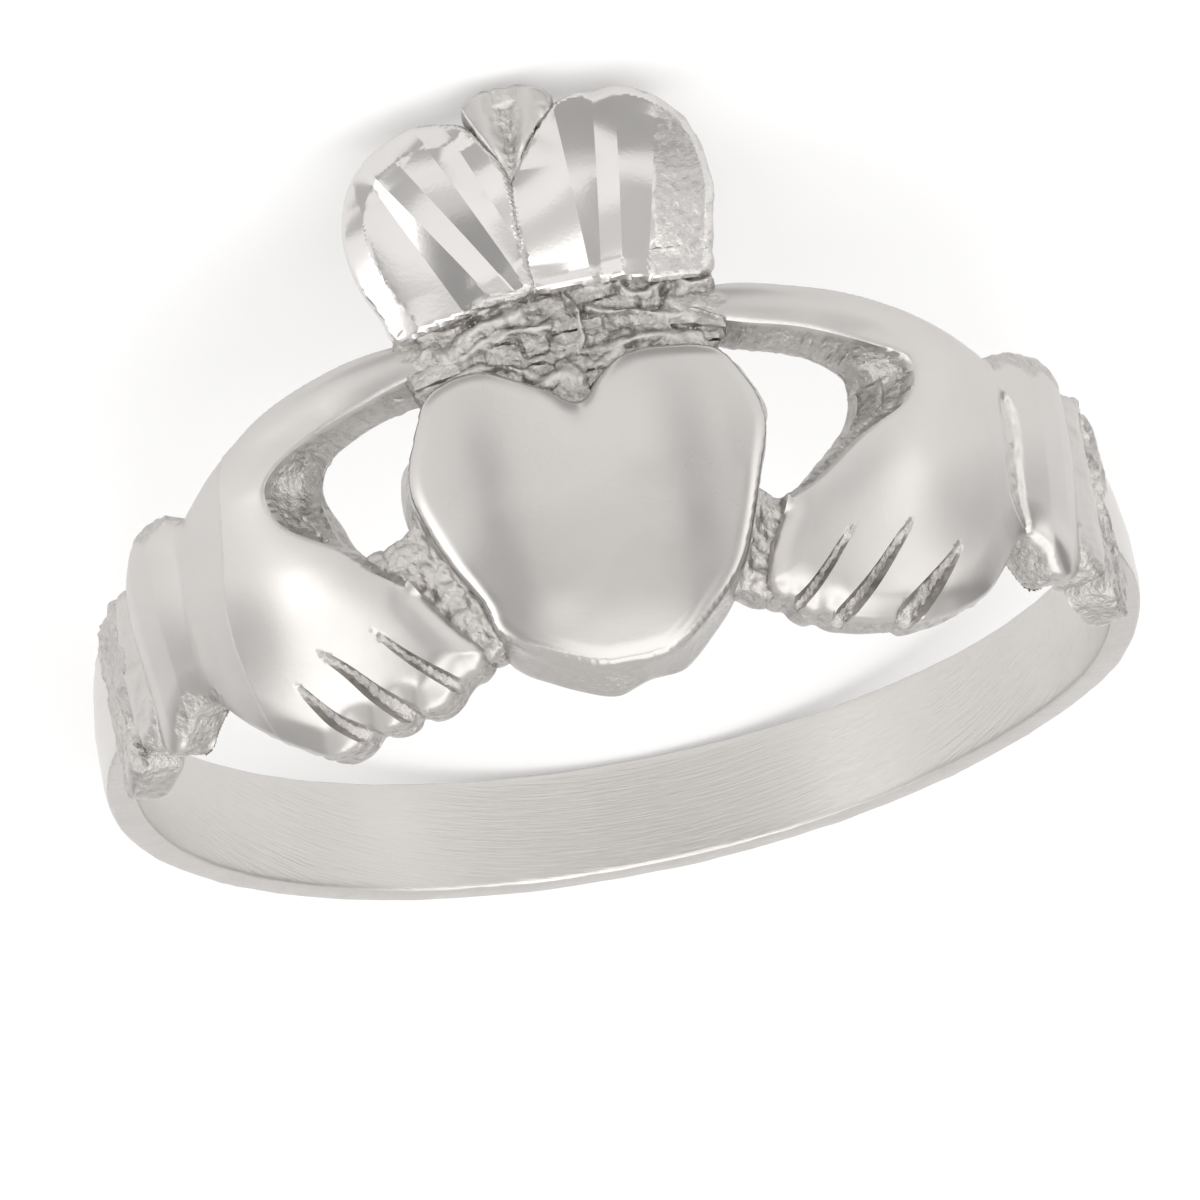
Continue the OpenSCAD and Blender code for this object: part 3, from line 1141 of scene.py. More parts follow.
    # Rise that the cuff's roll adds at places along the arc
    ROLL = {
        Side.RIGHT: ((7.2, 7.9, 8.6, 9.2, 9.8, 10.3, 10.65),
                     (0.0, 0.01, 0.05, 0.10, 0.05, -0.05, -0.16)),
        Side.LEFT: ((8.0, 8.5, 9.2, 9.8, 10.3, 10.65),
                    (0.0, 0.02, 0.12, 0.13, 0.06, -0.04)),
    }
    # The roll's lower knob. Columns: s, z, its reach in s and z, its rise
    KNOB = {
        Side.RIGHT: (9.15, -1.78, 0.50, 0.34, 0.11),
        Side.LEFT: (9.90, -2.00, 0.45, 0.30, 0.0),
    }
    # A shallow crescent on the right cuff
    CRESCENT = Groove(
        ((8.32, 0.96), (8.40, 0.50), (8.38, -0.05), (8.34, -0.60), (8.40, -1.12), (8.66, -1.60)),
        (0.56, 0.50), 0.05, reach=0.10, steep=0.8, close=0.3,
    )

    def grooves(self) -> list[Groove]:
        """The grooves between the fingers, and the right cuff's crescent."""
        extra = [self.CRESCENT] if self.side is Side.RIGHT else []
        return [*self.GROOVES[self.side], *extra]

    def outer(self, step: float = STEP) -> Points:
        """The outer edge, divided into steps."""
        return smooth_line(self.OUTER[self.side], step, False)

    def crease(self) -> Points:
        """The line of the fold across the left hand."""
        return smooth_line(self.CREASE, STEP, False)

    def gap_lines(self) -> tuple[Points, Points, np.ndarray]:
        """Draws the slope that leads down to the pierced gap.

        Returns:
            Its crisp upper edge, its foot and the foot's rise, point for point.
        """
        rows = np.array(self.GAP[self.side])
        at = np.linspace(0, len(rows) - 1, (len(rows) - 1) * self.GAP_STEPS + 1)
        each = [np.interp(at, np.arange(len(rows)), column) for column in rows.T]
        # a running mean rounds the corners at the knots
        half = self.GAP_STEPS // 2
        mean = np.full(2 * half + 1, 1 / (2 * half + 1))
        soft = [np.convolve(np.pad(e, half, "edge"), mean, "valid") for e in each]
        return np.column_stack(soft[0:2]), np.column_stack(soft[2:4]), soft[4]

    def slope(self, q: Points) -> tuple[np.ndarray, np.ndarray, np.ndarray]:
        """Finds the place of points on the gap's slope.

        Args:
            q: rows of s and z.

        Returns:
            The share of the way down of each row, below 0 on the hand's back, the rise of the
            slope's foot below it, and its way along the edge in millimetres.
        """
        edge, foot, low = self.gap_lines()
        to_edge, at = distance(q, edge, False)
        to_foot, _ = distance(q, foot, False)
        zone = inside(q, np.vstack((edge, foot[::-1])))
        low_at = np.interp(at, np.linspace(0, 1, len(low)), low)
        near_foot = to_foot < self.AT_FOOT
        share = to_edge / np.maximum(to_edge + to_foot, 1e-6)
        return np.where(zone | near_foot, share, -1.0), low_at, at * self.GAP_LENGTH

    def back_rise(self, q: Points) -> np.ndarray:
        """Rise of the back of the hand before its edges are rounded.

        Args:
            q: rows of s and z.

        Returns:
            The rise of each row.
        """
        s, z = np.abs(q[:, 0]), q[:, 1]
        thumb = ramp(z, 1.0, 2.0) * (1 - ramp(s, 4.6, 7.6))
        fingers = ramp(z - 0.25 * (s - 5.0), -0.7, -3.3)
        rise = blend(self.palm_rise, self.finger_rise, fingers)
        rise = blend(rise, self.thumb_rise, thumb)
        rise = rise + self.ball * swell(s, 5.9, 1.1) * swell(z, -0.6, 1.5)
        rise = rise - self.wrist * ramp(s, 7.2, 8.6) + np.interp(s, *self.ROLL[self.side])
        at, low, wide, tall, high = self.KNOB[self.side]
        return rise + high * swell(s, at, wide) * swell(z, low, tall)

    def fold(self, q: Points) -> np.ndarray:
        """Fall of the wrist behind the fold across the left hand's back.

        Args:
            q: rows of s and z.

        Returns:
            The fall of each row, 0 before the fold.
        """
        line = self.crease()
        gap = distance(q, line, False)[0]
        behind = -q[:, 0] > np.interp(q[:, 1], line[::-1, 1], -line[::-1, 0])
        step, further = self.fold_fall
        return np.where(behind, step * ease(gap / 0.03) + further * np.clip(gap / 1.3, 0, 1), 0)

    def height(self, q: Points, depth: np.ndarray) -> np.ndarray:
        """Rise of the hand, rounded outside, cut by the grooves and sunk towards the gap.

        Args:
            q: rows of s and z.
            depth: depth of each row inside the outline; not used.

        Returns:
            The rise of each row.
        """
        rise = self.back_rise(q)
        if self.side is Side.LEFT:
            rise = rise - self.fold(q)
        outer = distance(q, self.outer(), False)[0]
        edge = distance(q, self.gap_lines()[0], False)[0]
        rise = rise - self.rounding.fall(outer)
        rise = rise - self.curl * ramp(outer, 0.5, 0.0) * ramp(q[:, 1], -2.7, -3.5)
        share, low, along = self.slope(q)
        gap_edge = self.gap_rounding
        rise = rise - np.where(share < 0, gap_edge.fall(edge), gap_edge.drop)
        for groove in self.grooves():
            rise = rise - groove.cut(q)[0]
        t = np.clip(share, 0, 1)
        fall = sum(part * ramp(t, start, end) for part, start, end in self.FALLS)
        high, middle, reach = self.RIDGE
        ridge = high * swell(t, middle, reach)
        high, drawn = self.STREAKS
        streaks = high * rough_noise(level(np.column_stack((t, along)) * drawn), 1.0, 15)
        slope = blend(rise, low, fall) + ridge + streaks * ramp(t, 0.0, 0.1)
        return np.where(share >= 0, slope, rise)

    def cast(self, q: Points, depth: np.ndarray) -> np.ndarray:
        """The grooves' bottoms, the gap's slope, the thumb's end and the cuff's top stay rough.

        Args:
            q: rows of s and z.
            depth: depth of each row inside the outline; not used.

        Returns:
            How rough each row is, 0 to 1.
        """
        # The finish darkens the pits of these rough places, the grooves' bottoms and the gap's
        # slope among them, with painted shade.
        s, z = np.abs(q[:, 0]), q[:, 1]
        rough = ramp(self.slope(q)[0], 0.02, 0.08)
        for groove in self.GROOVES[self.side]:
            rough = np.maximum(rough, 0.9 * groove.cut(q)[1])
        if self.side is Side.RIGHT:
            rough = np.maximum(rough, 0.3 * self.CRESCENT.cut(q)[1])
        end = np.where(z > 1.5, ramp(s + 0.15 * np.sin(9 * z), 3.0, 2.75), 0)
        wavy = 0.08 * np.sin(7 * s)
        top = 0.9 * ramp(z + wavy, 1.28, 1.48) * ramp(s, 8.15, 8.30)
        back = 0.8 * ramp(s + wavy, 10.36, 10.46)
        if self.side is Side.LEFT:
            pit = np.hypot((s - 9.0) / 0.75, (z + 2.05 - wavy) / 0.42)
            back = np.maximum(back, ramp(pit, 1.1, 0.85))
        return np.maximum.reduce((rough, end, top, back))

    def draft(self, q: Points) -> np.ndarray:
        """The underside of the cuff's lower knob slopes in.

        Args:
            q: rows of s and z.

        Returns:
            How far the wall's foot stands out at each row, below 0 where it slopes in.
        """
        s = np.abs(q[:, 0])
        under, beside = self.knob_under
        inward = under * swell(s, 8.6, 0.4) + beside * ramp(s, 8.9, 9.3)
        return -inward * ramp(q[:, 1], -1.2, -1.8)

    def creases(self, loop: Points) -> list[Points]:
        """Draws the lines that the mesh follows, where they lie well inside the outline.

        Args:
            loop: rows of s and z along the outline.

        Returns:
            Rows of s and z along each line.
        """
        edge, foot, _ = self.gap_lines()
        lines = [blend(edge, foot, t)[1:-1] for t in (0.0, 0.10)]
        lines += [e for groove in self.grooves() for e in groove.edges()]
        if self.side is Side.LEFT:
            lines.append(self.crease())
        kept = []
        for line in lines:
            line = resample(line, STEP)
            keep = inside(line, loop) & (distance(line, loop, True)[0] > self.CLEAR)
            kept += runs(line, keep)
        return kept

    def build(self, finishes: Finishes) -> None:
        """Makes the hand.

        Args:
            finishes: material of each finish.
        """
        foot = self.gap_lines()[1]
        outline = np.vstack((self.outer(self.OUTLINE_STEP), foot[::2]))
        Relief(
            "hand_" + self.side.word, outline, self.height, cast=self.cast, draft=self.draft,
            creases=self.creases(smooth_line(outline, STEP, True)), grain=0.045, back=0.02,
            bumps=0.045, bump_size=0.2, wall_cast=lambda q, share: ease(share / 0.2),
            wall_rows=9, crease=42, seed=21 + self.side.value,
        ).build(finishes[Silver.SATIN])


@dataclass
class Joint:
    """The rough strip of cast metal between the heart and the first finger.

    Attributes:
        side: side of the heart.
        rise: rise of the strip.
        ridge: rise of the ridge along it.
        rounding: its edge.
    """

    side: Side
    rise: float = 0.74
    ridge: float = 0.08
    rounding: Rounding = Rounding(0.14, 0.3)

    OUTLINE = {
        Side.RIGHT: (
            (2.85, -0.80), (3.08, -0.92), (3.40, -1.10), (3.70, -1.02), (3.95, -1.10),
            (3.80, -1.50), (3.40, -2.10), (3.10, -2.60), (3.00, -2.90), (2.70, -2.90),
            (2.36, -2.72), (2.00, -2.60), (2.20, -2.00), (2.55, -1.30),
        ),
        Side.LEFT: (
            (-4.50, -0.66), (-4.16, -0.60), (-3.84, -0.58), (-3.60, -0.42), (-3.40, -0.10),
            (-3.10, -0.20), (-2.80, -1.00), (-2.40, -1.90), (-2.00, -2.60), (-2.10, -3.00),
            (-2.45, -3.14), (-2.75, -3.02), (-3.10, -2.40), (-3.60, -1.80), (-4.20, -1.30),
            (-4.70, -0.90),
        ),
    }

    def height(self, q: Points, depth: np.ndarray) -> np.ndarray:
        """Rise of the strip, with a low ridge along it.

        Args:
            q: rows of s and z.
            depth: depth of each row inside the outline.

        Returns:
            The rise of each row.
        """
        s = np.abs(q[:, 0])
        ridge = self.ridge * swell(s - 0.42 * q[:, 1], 3.422, 0.13)
        return self.rise + ridge - self.rounding.fall(depth)

    def build(self, finishes: Finishes) -> None:
        """Makes the strip.

        Args:
            finishes: material of each finish.
        """
        Relief(
            "joint_" + self.side.word, self.OUTLINE[self.side], self.height, grain=0.04,
            back=0.065, cast=lambda q, depth: np.full(len(q), 0.8), bumps=0.10,
            bump_size=0.26, seed=101 + self.side.value,
        ).build(finishes[Silver.SATIN])


@dataclass
class Cuff:
    """The end of a sleeve behind its large roll: a small roll and a torn shoulder.

    Attributes:
        side: side of the heart.
        hem_swell: how much the small roll swells across.
        hem_fall: how much it falls from its front to its back.
        hem_rounding: its edge.
        shoulder_rise: rise of the shoulder behind the roll, and where it ends on the band.
        torn: height of the shoulder's torn flakes.
        shoulder_rounding: its edge.
    """

    side: Side
    hem_swell: float = 0.08
    hem_fall: float = 0.12
    hem_rounding: Rounding = Rounding(0.14, 0.3)
    shoulder_rise: tuple[float, float] = (0.80, 0.35)
    torn: float = 0.11
    shoulder_rounding: Rounding = Rounding(0.10, 0.3)

    HEM_RISE = {Side.RIGHT: 0.95, Side.LEFT: 0.88}
    FLAKES = ((1.3, 0.0), (0.5, 0.45))  # draws the flakes out along z, and leans them
    HEM = {
        Side.RIGHT: (
            (10.20, 1.10), (10.50, 1.36), (10.80, 1.42), (11.10, 1.30), (11.24, 0.80),
            (11.30, 0.0), (11.36, -0.90), (11.26, -1.60), (10.98, -1.98), (10.62, -1.98),
            (10.30, -1.70),
        ),
        Side.LEFT: (
            (-10.10, 0.60), (-10.40, 0.90), (-10.75, 0.96), (-11.02, 0.80), (-11.14, 0.40),
            (-11.16, -0.20), (-11.20, -0.90), (-11.10, -1.60), (-10.80, -1.98),
            (-10.50, -1.98), (-10.20, -1.70),
        ),
    }
    SHOULDER = {
        Side.RIGHT: (
            (10.80, 1.24), (11.30, 1.50), (11.90, 1.36), (12.40, 1.04), (12.90, 0.95),
            (13.60, 0.94), (14.80, 0.94), (14.80, -0.90), (13.80, -0.96), (13.30, -1.16),
            (13.05, -1.60), (12.60, -2.20), (12.10, -2.36), (11.60, -2.30), (11.10, -2.06),
        ),
        Side.LEFT: (
            (-10.60, 0.60), (-11.10, 0.98), (-11.80, 0.96), (-12.40, 0.94), (-12.90, 0.95),
            (-13.60, 0.97), (-14.80, 0.97), (-14.80, -0.98), (-13.80, -1.06),
            (-13.30, -1.30), (-13.05, -1.66), (-12.60, -2.16), (-12.10, -2.30),
            (-11.60, -2.26), (-11.00, -2.06),
        ),
    }

    def hem_height(self, q: Points, depth: np.ndarray) -> np.ndarray:
        """Rise of the small roll.

        Args:
            q: rows of s and z.
            depth: depth of each row inside the outline.

        Returns:
            The rise of each row.
        """
        t = np.clip((np.abs(q[:, 0]) - 10.5) / 0.9, 0, 1)
        roll = self.hem_swell * np.sin(math.pi * t) - self.hem_fall * t
        return self.HEM_RISE[self.side] + roll - self.hem_rounding.fall(depth)

    def shoulder_height(self, q: Points, depth: np.ndarray) -> np.ndarray:
        """Rise of the torn shoulder, which falls to the band.

        Args:
            q: rows of s and z.
            depth: depth of each row inside the outline.

        Returns:
            The rise of each row.
        """
        t = ramp(np.abs(q[:, 0]), 11.0, 14.4)
        flakes = lattice_noise(level(q @ np.array(self.FLAKES)), 0.42, 7 + self.side.value)
        torn = self.torn * (1 - 2 * np.abs(flakes))
        near, far = self.shoulder_rise
        return blend(near + torn, far, t) - self.shoulder_rounding.fall(depth) * (1 - t)

    def build(self, finishes: Finishes) -> None:
        """Makes the two pieces behind the hand's own roll.

        Args:
            finishes: material of each finish.
        """
        word, number = self.side.word, self.side.value
        Relief(
            "cuff_hem_" + word, self.HEM[self.side], self.hem_height,
            grain=0.05, back=0.03, bumps=0.06, bump_size=0.25, seed=41 + number,
            cast=lambda q, depth: 0.3 + 0.6 * (1 - ease(depth / 0.25)),
        ).build(finishes[Silver.SATIN])
        Relief(
            "shoulder_" + word, self.SHOULDER[self.side], self.shoulder_height,
            grain=0.05, back=0.04, bumps=0.06, bump_size=0.35, seed=51 + number,
            cast=lambda q, depth: 0.8 * ramp(np.abs(q[:, 0]), 13.8, 12.9),
            wall_cast=lambda q, share: ramp(np.abs(q[:, 0]), 14.1, 13.2),
        ).build(finishes[Silver.SATIN])


@dataclass
class Lobe:
    """A lobe of the crown, cut by a diamond tool into flat strips.

    Attributes:
        name: name of the piece.
        outline: knots of the lobe's outline.
        cuts: edges between the strips: foot s and z, rim s and z, rise above the face at both,
            and how far the edge is bowed.
        border: width and fall of the smooth border.
        bevel: first and last row of the outline that the border follows.
        face_rise: rise of the face.
        rough_end: whether the metal right of the last cut was left rough.
        rough_from: place along the arc past which the border is rough.
        rounding: the lobe's edge.
    """

    name: str
    outline: Sequence[tuple[float, float]]
    cuts: Sequence[tuple[float, float, float, float, float, float, float]]
    border: tuple[float, float] = (0.35, 0.16)
    bevel: tuple[int, int] = (0, 10)
    face_rise: float = 1.16
    rough_end: bool = False
    rough_from: float = 9.0
    rounding: Rounding = Rounding(0.10, 0.12)

    CLEAR = 0.04  # least distance of the mesh's lines from the outline

    def place_across(self, q: Points, cut: Sequence[float]) -> tuple[np.ndarray, np.ndarray]:
        """Finds where points lie beside an edge between two strips.

        Args:
            q: rows of s and z.
            cut: the edge, a row of cuts.

        Returns:
            The distance of each row to the right of the edge, and the edge's rise beside it.
        """
        foot, rim = np.array(cut[0:2]), np.array(cut[2:4])
        low, high, bow = cut[4:7]
        length = np.linalg.norm(rim - foot)
        way = (rim - foot) / length
        rel = q - foot
        u = np.clip(rel @ way / length, 0, 1)
        rise = blend(low, high, u) + bow * (4 * u * (1 - u) - 0.5)
        return rel[:, 0] * way[1] - rel[:, 1] * way[0], rise

    def height(self, q: Points, depth: np.ndarray) -> np.ndarray:
        """Rise of the face: strips between the cuts' bowed edges and a bevelled border.

        Args:
            q: rows of s and z.
            depth: depth of each row inside the outline.

        Returns:
            The rise of each row.
        """
        sides = [self.place_across(q, c) for c in self.cuts]
        first, last = sides[0], sides[-1]
        rise = np.where(first[0] < 0, first[1], last[1])
        for (a, low), (b, high) in zip(sides, sides[1:]):
            strip = (a >= 0) & (b < 0)
            share = a / np.maximum(a - b, 1e-6)
            rise = np.where(strip, blend(low, high, share), rise)
        rim_line = smooth_line(self.outline[slice(*self.bevel)], STEP, False)
        near = distance(q, rim_line, False)[0]
        wide, fall = self.border
        rim = fall * (1 - np.clip(near / wide, 0, 1)) + self.rounding.fall(depth)
        return self.face_rise + rise - rim

    def cast(self, q: Points, depth: np.ndarray) -> np.ndarray:
        """The part right of the last cut stays rough, and so does a narrow border.

        Args:
            q: rows of s and z.
            depth: depth of each row inside the outline.

        Returns:
            How rough each row is, 0 to 1.
        """
        uneven = 0.06 * lattice_noise(level(q), 0.2, 9)
        past = self.place_across(q, self.cuts[-1])[0] + uneven
        bare = 0.45 * ramp(past, 0.0, 0.1) if self.rough_end else 0 * past
        edge = 0.8 * ramp(depth + uneven, 0.11, 0.05) * (q[:, 0] > self.rough_from)
        return np.maximum(bare, edge)

    def build(self, finishes: Finishes) -> None:
        """Makes the lobe.

        Args:
            finishes: material of each finish.
        """
        loop = smooth_line(self.outline, STEP, True)
        creases = []
        for cut in self.cuts:
            line = smooth_line([cut[0:2], cut[2:4]], STEP, False)
            line = line[inside(line, loop) & (distance(line, loop, True)[0] > self.CLEAR)]
            if len(line) > 2:
                creases.append(line)
        Relief(
            self.name, self.outline, self.height, cast=self.cast, creases=creases,
            grain=0.05, crease=7.0, back=0.055, bumps=0.03, bump_size=0.25, seed=61,
            wall_cast=lambda q, share: ease(share / 0.5),
        ).build(finishes[Silver.CUT])


@dataclass
class Crown:
    """The crown: two lobes, a ribbed fan between them and the rough base below.

    Attributes:
        left: the left lobe.
        right: the right lobe.
        base_rise: rise of the base.
        bar: how much more its upper part rises.
        crack: depth of the cracks between its ropes.
        base_rounding: its edge.
        fan_rise: rise of the fan.
        leaf: how much its two leaves rise.
        rib: rise of the rib between them.
        fan_rim: rise of its upper rim.
        fan_rounding: its edge.
        fan_foot: s and z of the point from which its leaves spread.
    """

    left: Lobe = field(default_factory=lambda: Lobe(
        "crown_lobe_left",
        (
            (-3.04, 2.84), (-3.24, 3.35), (-3.50, 3.95), (-3.65, 4.61), (-3.64, 5.22),
            (-3.47, 5.74), (-3.14, 6.18), (-2.66, 6.50), (-2.10, 6.66), (-1.56, 6.63),
            (-1.14, 6.48), (-0.88, 6.24), (-0.66, 5.86), (-0.46, 5.40), (-0.42, 4.90),
            (-0.42, 4.25), (-0.36, 3.70), (-0.36, 3.20), (-1.20, 3.05), (-2.20, 2.90),
        ),
        (
            (-2.89, 3.45, -3.16, 5.46, 0.03, 0.04, 0.03),
            (-1.71, 3.11, -2.75, 5.46, -0.07, -0.01, 0.03),
            (-1.34, 3.50, -2.57, 5.53, 0.06, 0.05, 0.05),
            (-0.94, 3.60, -2.30, 5.95, -0.03, -0.02, 0.06),
            (-0.66, 3.60, -1.80, 6.22, 0.05, 0.06, 0.10),
            (-0.40, 3.80, -1.20, 5.95, -0.02, 0.00, 0.12),
        ),
        border=(0.52, 0.15), rough_from=-1.9,
    ))
    right: Lobe = field(default_factory=lambda: Lobe(
        "crown_lobe_right",
        (
            (-0.46, 3.20), (-0.48, 3.70), (-0.50, 4.40), (-0.48, 5.12), (-0.28, 5.52),
            (0.02, 5.92), (0.37, 6.31), (0.60, 6.54), (0.90, 6.66), (1.30, 6.73), (1.84, 6.72),
            (2.36, 6.54), (2.79, 6.22), (3.05, 5.78), (3.17, 5.26), (3.20, 4.69), (3.10, 4.14),
            (2.98, 3.55), (2.88, 3.10), (2.00, 3.00), (1.00, 3.10),
        ),
        (
            (-0.42, 3.60, -0.34, 5.40, -0.06, -0.06, 0.08),
            (0.66, 3.40, 0.56, 6.42, 0.05, 0.05, 0.16),
            (0.88, 3.46, 1.29, 6.58, 0.02, -0.06, 0.16),
            (1.26, 3.46, 1.68, 6.62, 0.14, 0.07, 0.16),
            (1.76, 3.50, 2.32, 6.00, -0.02, -0.04, 0.10),
        ),
        border=(0.22, 0.10), bevel=(9, 19), rough_end=True, rough_from=1.9,
    ))
    base_rise: float = 0.80
    bar: float = 0.06
    crack: float = 0.09
    base_rounding: Rounding = Rounding(0.14, 0.15)
    fan_rise: float = 1.02
    leaf: float = 0.14
    rib: float = 0.05
    fan_rim: float = 0.10
    fan_rounding: Rounding = Rounding(0.12, 0.10)
    fan_foot: tuple[float, float] = (-0.40, 5.00)

    BASE = (
        (-3.20, 2.88), (-2.90, 3.14), (-2.60, 3.28), (-2.12, 3.26), (-1.64, 3.24), (-1.44, 3.56),
        (-1.00, 3.66), (-0.62, 3.66), (-0.28, 3.72), (0.33, 3.66), (0.69, 3.54), (1.11, 3.66),
        (1.66, 3.68), (2.30, 3.72), (2.84, 3.68), (2.98, 3.40), (2.90, 3.05), (2.98, 2.70),
        (3.05, 2.30), (2.95, 1.95), (2.60, 1.60), (1.80, 1.55), (0.90, 1.40), (0.00, 0.80),
        (-0.90, 1.20), (-1.80, 1.55), (-2.55, 1.45), (-2.95, 1.80), (-3.10, 2.40),
        (-3.22, 2.66),
    )
    FAN = (
        (-1.06, 6.76), (-0.84, 6.92), (-0.45, 7.00), (0.00, 6.98), (0.34, 6.90), (0.57, 6.68),
        (0.52, 6.42), (0.26, 6.15), (-0.03, 5.80), (-0.24, 5.30), (-0.32, 4.60),
        (-0.50, 4.60), (-0.56, 5.30), (-0.68, 5.75), (-0.84, 6.12), (-1.00, 6.38),
    )
    # Ropes of metal on the base. Columns: knots, half width, rise
    ROPES = (
        (((-3.05, 2.90), (-2.5, 3.10), (-1.9, 3.08), (-1.45, 3.36), (-0.7, 3.50), (0.1, 3.50),
          (0.7, 3.36), (1.4, 3.52), (2.1, 3.56), (2.8, 3.52)), 0.10, 0.26),
        (((-2.6, 2.84), (-1.9, 2.86), (-1.2, 3.10), (-0.4, 3.24), (0.4, 3.16), (1.0, 3.12)),
         0.07, 0.20),
        (((-2.3, 2.42), (-1.8, 2.58), (-1.3, 2.76), (-0.7, 2.86)), 0.14, 0.26),
        (((-2.9, 2.10), (-2.3, 2.26), (-1.6, 2.42), (-0.9, 2.56), (-0.2, 2.50)), 0.08, 0.16),
        (((0.06, 3.45), (0.14, 3.05), (0.28, 2.72), (0.34, 2.30)), 0.06, 0.20),
        (((1.12, 3.16), (1.26, 2.92), (1.68, 2.88), (1.95, 3.05), (1.75, 3.27), (1.32, 3.28)),
         0.07, 0.18),
        (((0.5, 2.74), (1.2, 2.58), (1.9, 2.46), (2.6, 2.36), (2.95, 2.2)), 0.09, 0.18),
        (((2.1, 3.16), (2.45, 2.90), (2.85, 2.96)), 0.08, 0.18),
        (((-0.5, 1.50), (-0.2, 1.62), (0.10, 1.46)), 0.16, 0.20),
        (((-2.7, 1.98), (-2.0, 2.06), (-1.3, 1.98), (-0.7, 1.72)), 0.08, 0.14),
        (((0.5, 1.74), (1.1, 2.04), (1.8, 2.10), (2.5, 1.98)), 0.10, 0.12),
    )

    def ropes(self, q: Points) -> tuple[np.ndarray, np.ndarray]:
        """Finds the ropes of metal on the base.

        Args:
            q: rows of s and z.

        Returns:
            The rise that they add at each row, and how near it lies to a crest, 0 to 1.
        """
        warp = q + 0.05 * np.column_stack([lattice_noise(level(q), 0.3, i) for i in (3, 4)])
        broken = 0.65 + 0.45 * lattice_noise(level(q), 0.4, 4)
        rise, crest = np.zeros(len(q)), np.zeros(len(q))
        for knots, wide, high in self.ROPES:
            shape = swell(distance(warp, smooth_line(knots, 0.08, False), False)[0], 0.0, wide)
            rise = np.maximum(rise, high * broken * shape)
            crest = np.maximum(crest, shape)
        return rise, crest

    def base_height(self, q: Points, depth: np.ndarray) -> np.ndarray:
        """Rise of the base, with its ropes and the cracks between them.

        Args:
            q: rows of s and z.
            depth: depth of each row inside the outline.

        Returns:
            The rise of each row.
        """
        crack = np.clip(1 - np.abs(lattice_noise(level(q * (1, 2.2)), 0.55, 6)) / 0.16, 0, 1)
        ropes, crest = self.ropes(q)
        bar = self.bar * ramp(q[:, 1] - 0.12 * q[:, 0], 2.3, 2.6)
        fall = self.crack * crack * (1 - crest) + self.base_rounding.fall(depth)
        return self.base_rise + bar + ropes - fall

    def base_cast(self, q: Points, depth: np.ndarray) -> np.ndarray:
        """The base is rough, and smoother on the crests of its ropes."""
        # The same share sets the painted shade, darkest in the hollows between the ropes.
        return 1.0 - 0.5 * ease(self.ropes(q)[1])

    def fan_height(self, q: Points, depth: np.ndarray) -> np.ndarray:
        """Rise of the fan: two leaves that spread from its foot, with a hollow between them.

        Args:
            q: rows of s and z.
            depth: depth of each row inside the outline.

        Returns:
            The rise of each row.
        """
        rel = q - self.fan_foot
        angle = np.degrees(np.arctan2(rel[:, 0], rel[:, 1]))
        leaves = self.leaf * np.abs(np.sin(math.pi * (angle - 4.5) / 35.0)) ** 0.8
        ribs = np.maximum(leaves, self.rib * swell(angle, 3.0, 3.0)) * ramp(rel[:, 1], 0.2, 0.9)
        rim = self.fan_rim * ramp(q[:, 1], 6.55, 6.67)
        return self.fan_rise + np.maximum(ribs, rim) - self.fan_rounding.fall(depth)

    def fan_cast(self, q: Points, depth: np.ndarray) -> np.ndarray:
        """The fan is rough, and polished where it rises highest."""
        return 0.95 - 0.9 * ramp(self.fan_height(q, depth), 1.07, 1.17)

    def build(self, finishes: Finishes) -> None:
        """Makes the crown's pieces.

        Args:
            finishes: material of each finish.
        """
        self.left.build(finishes)
        self.right.build(finishes)
        Relief(
            "crown_base", self.BASE, self.base_height, grain=0.036, back=0.045,
            bumps=0.055, bump_size=0.22, cast=self.base_cast, seed=71,
        ).build(finishes[Silver.ROUGH])
        Relief(
            "crown_fan", self.FAN, self.fan_height, grain=0.036, back=0.06, bumps=0.05,
            bump_size=0.2, seed=81, draft=lambda q: -0.06 * ramp(q[:, 1], 6.5, 6.8),
            cast=self.fan_cast,
        ).build(finishes[Silver.SATIN])


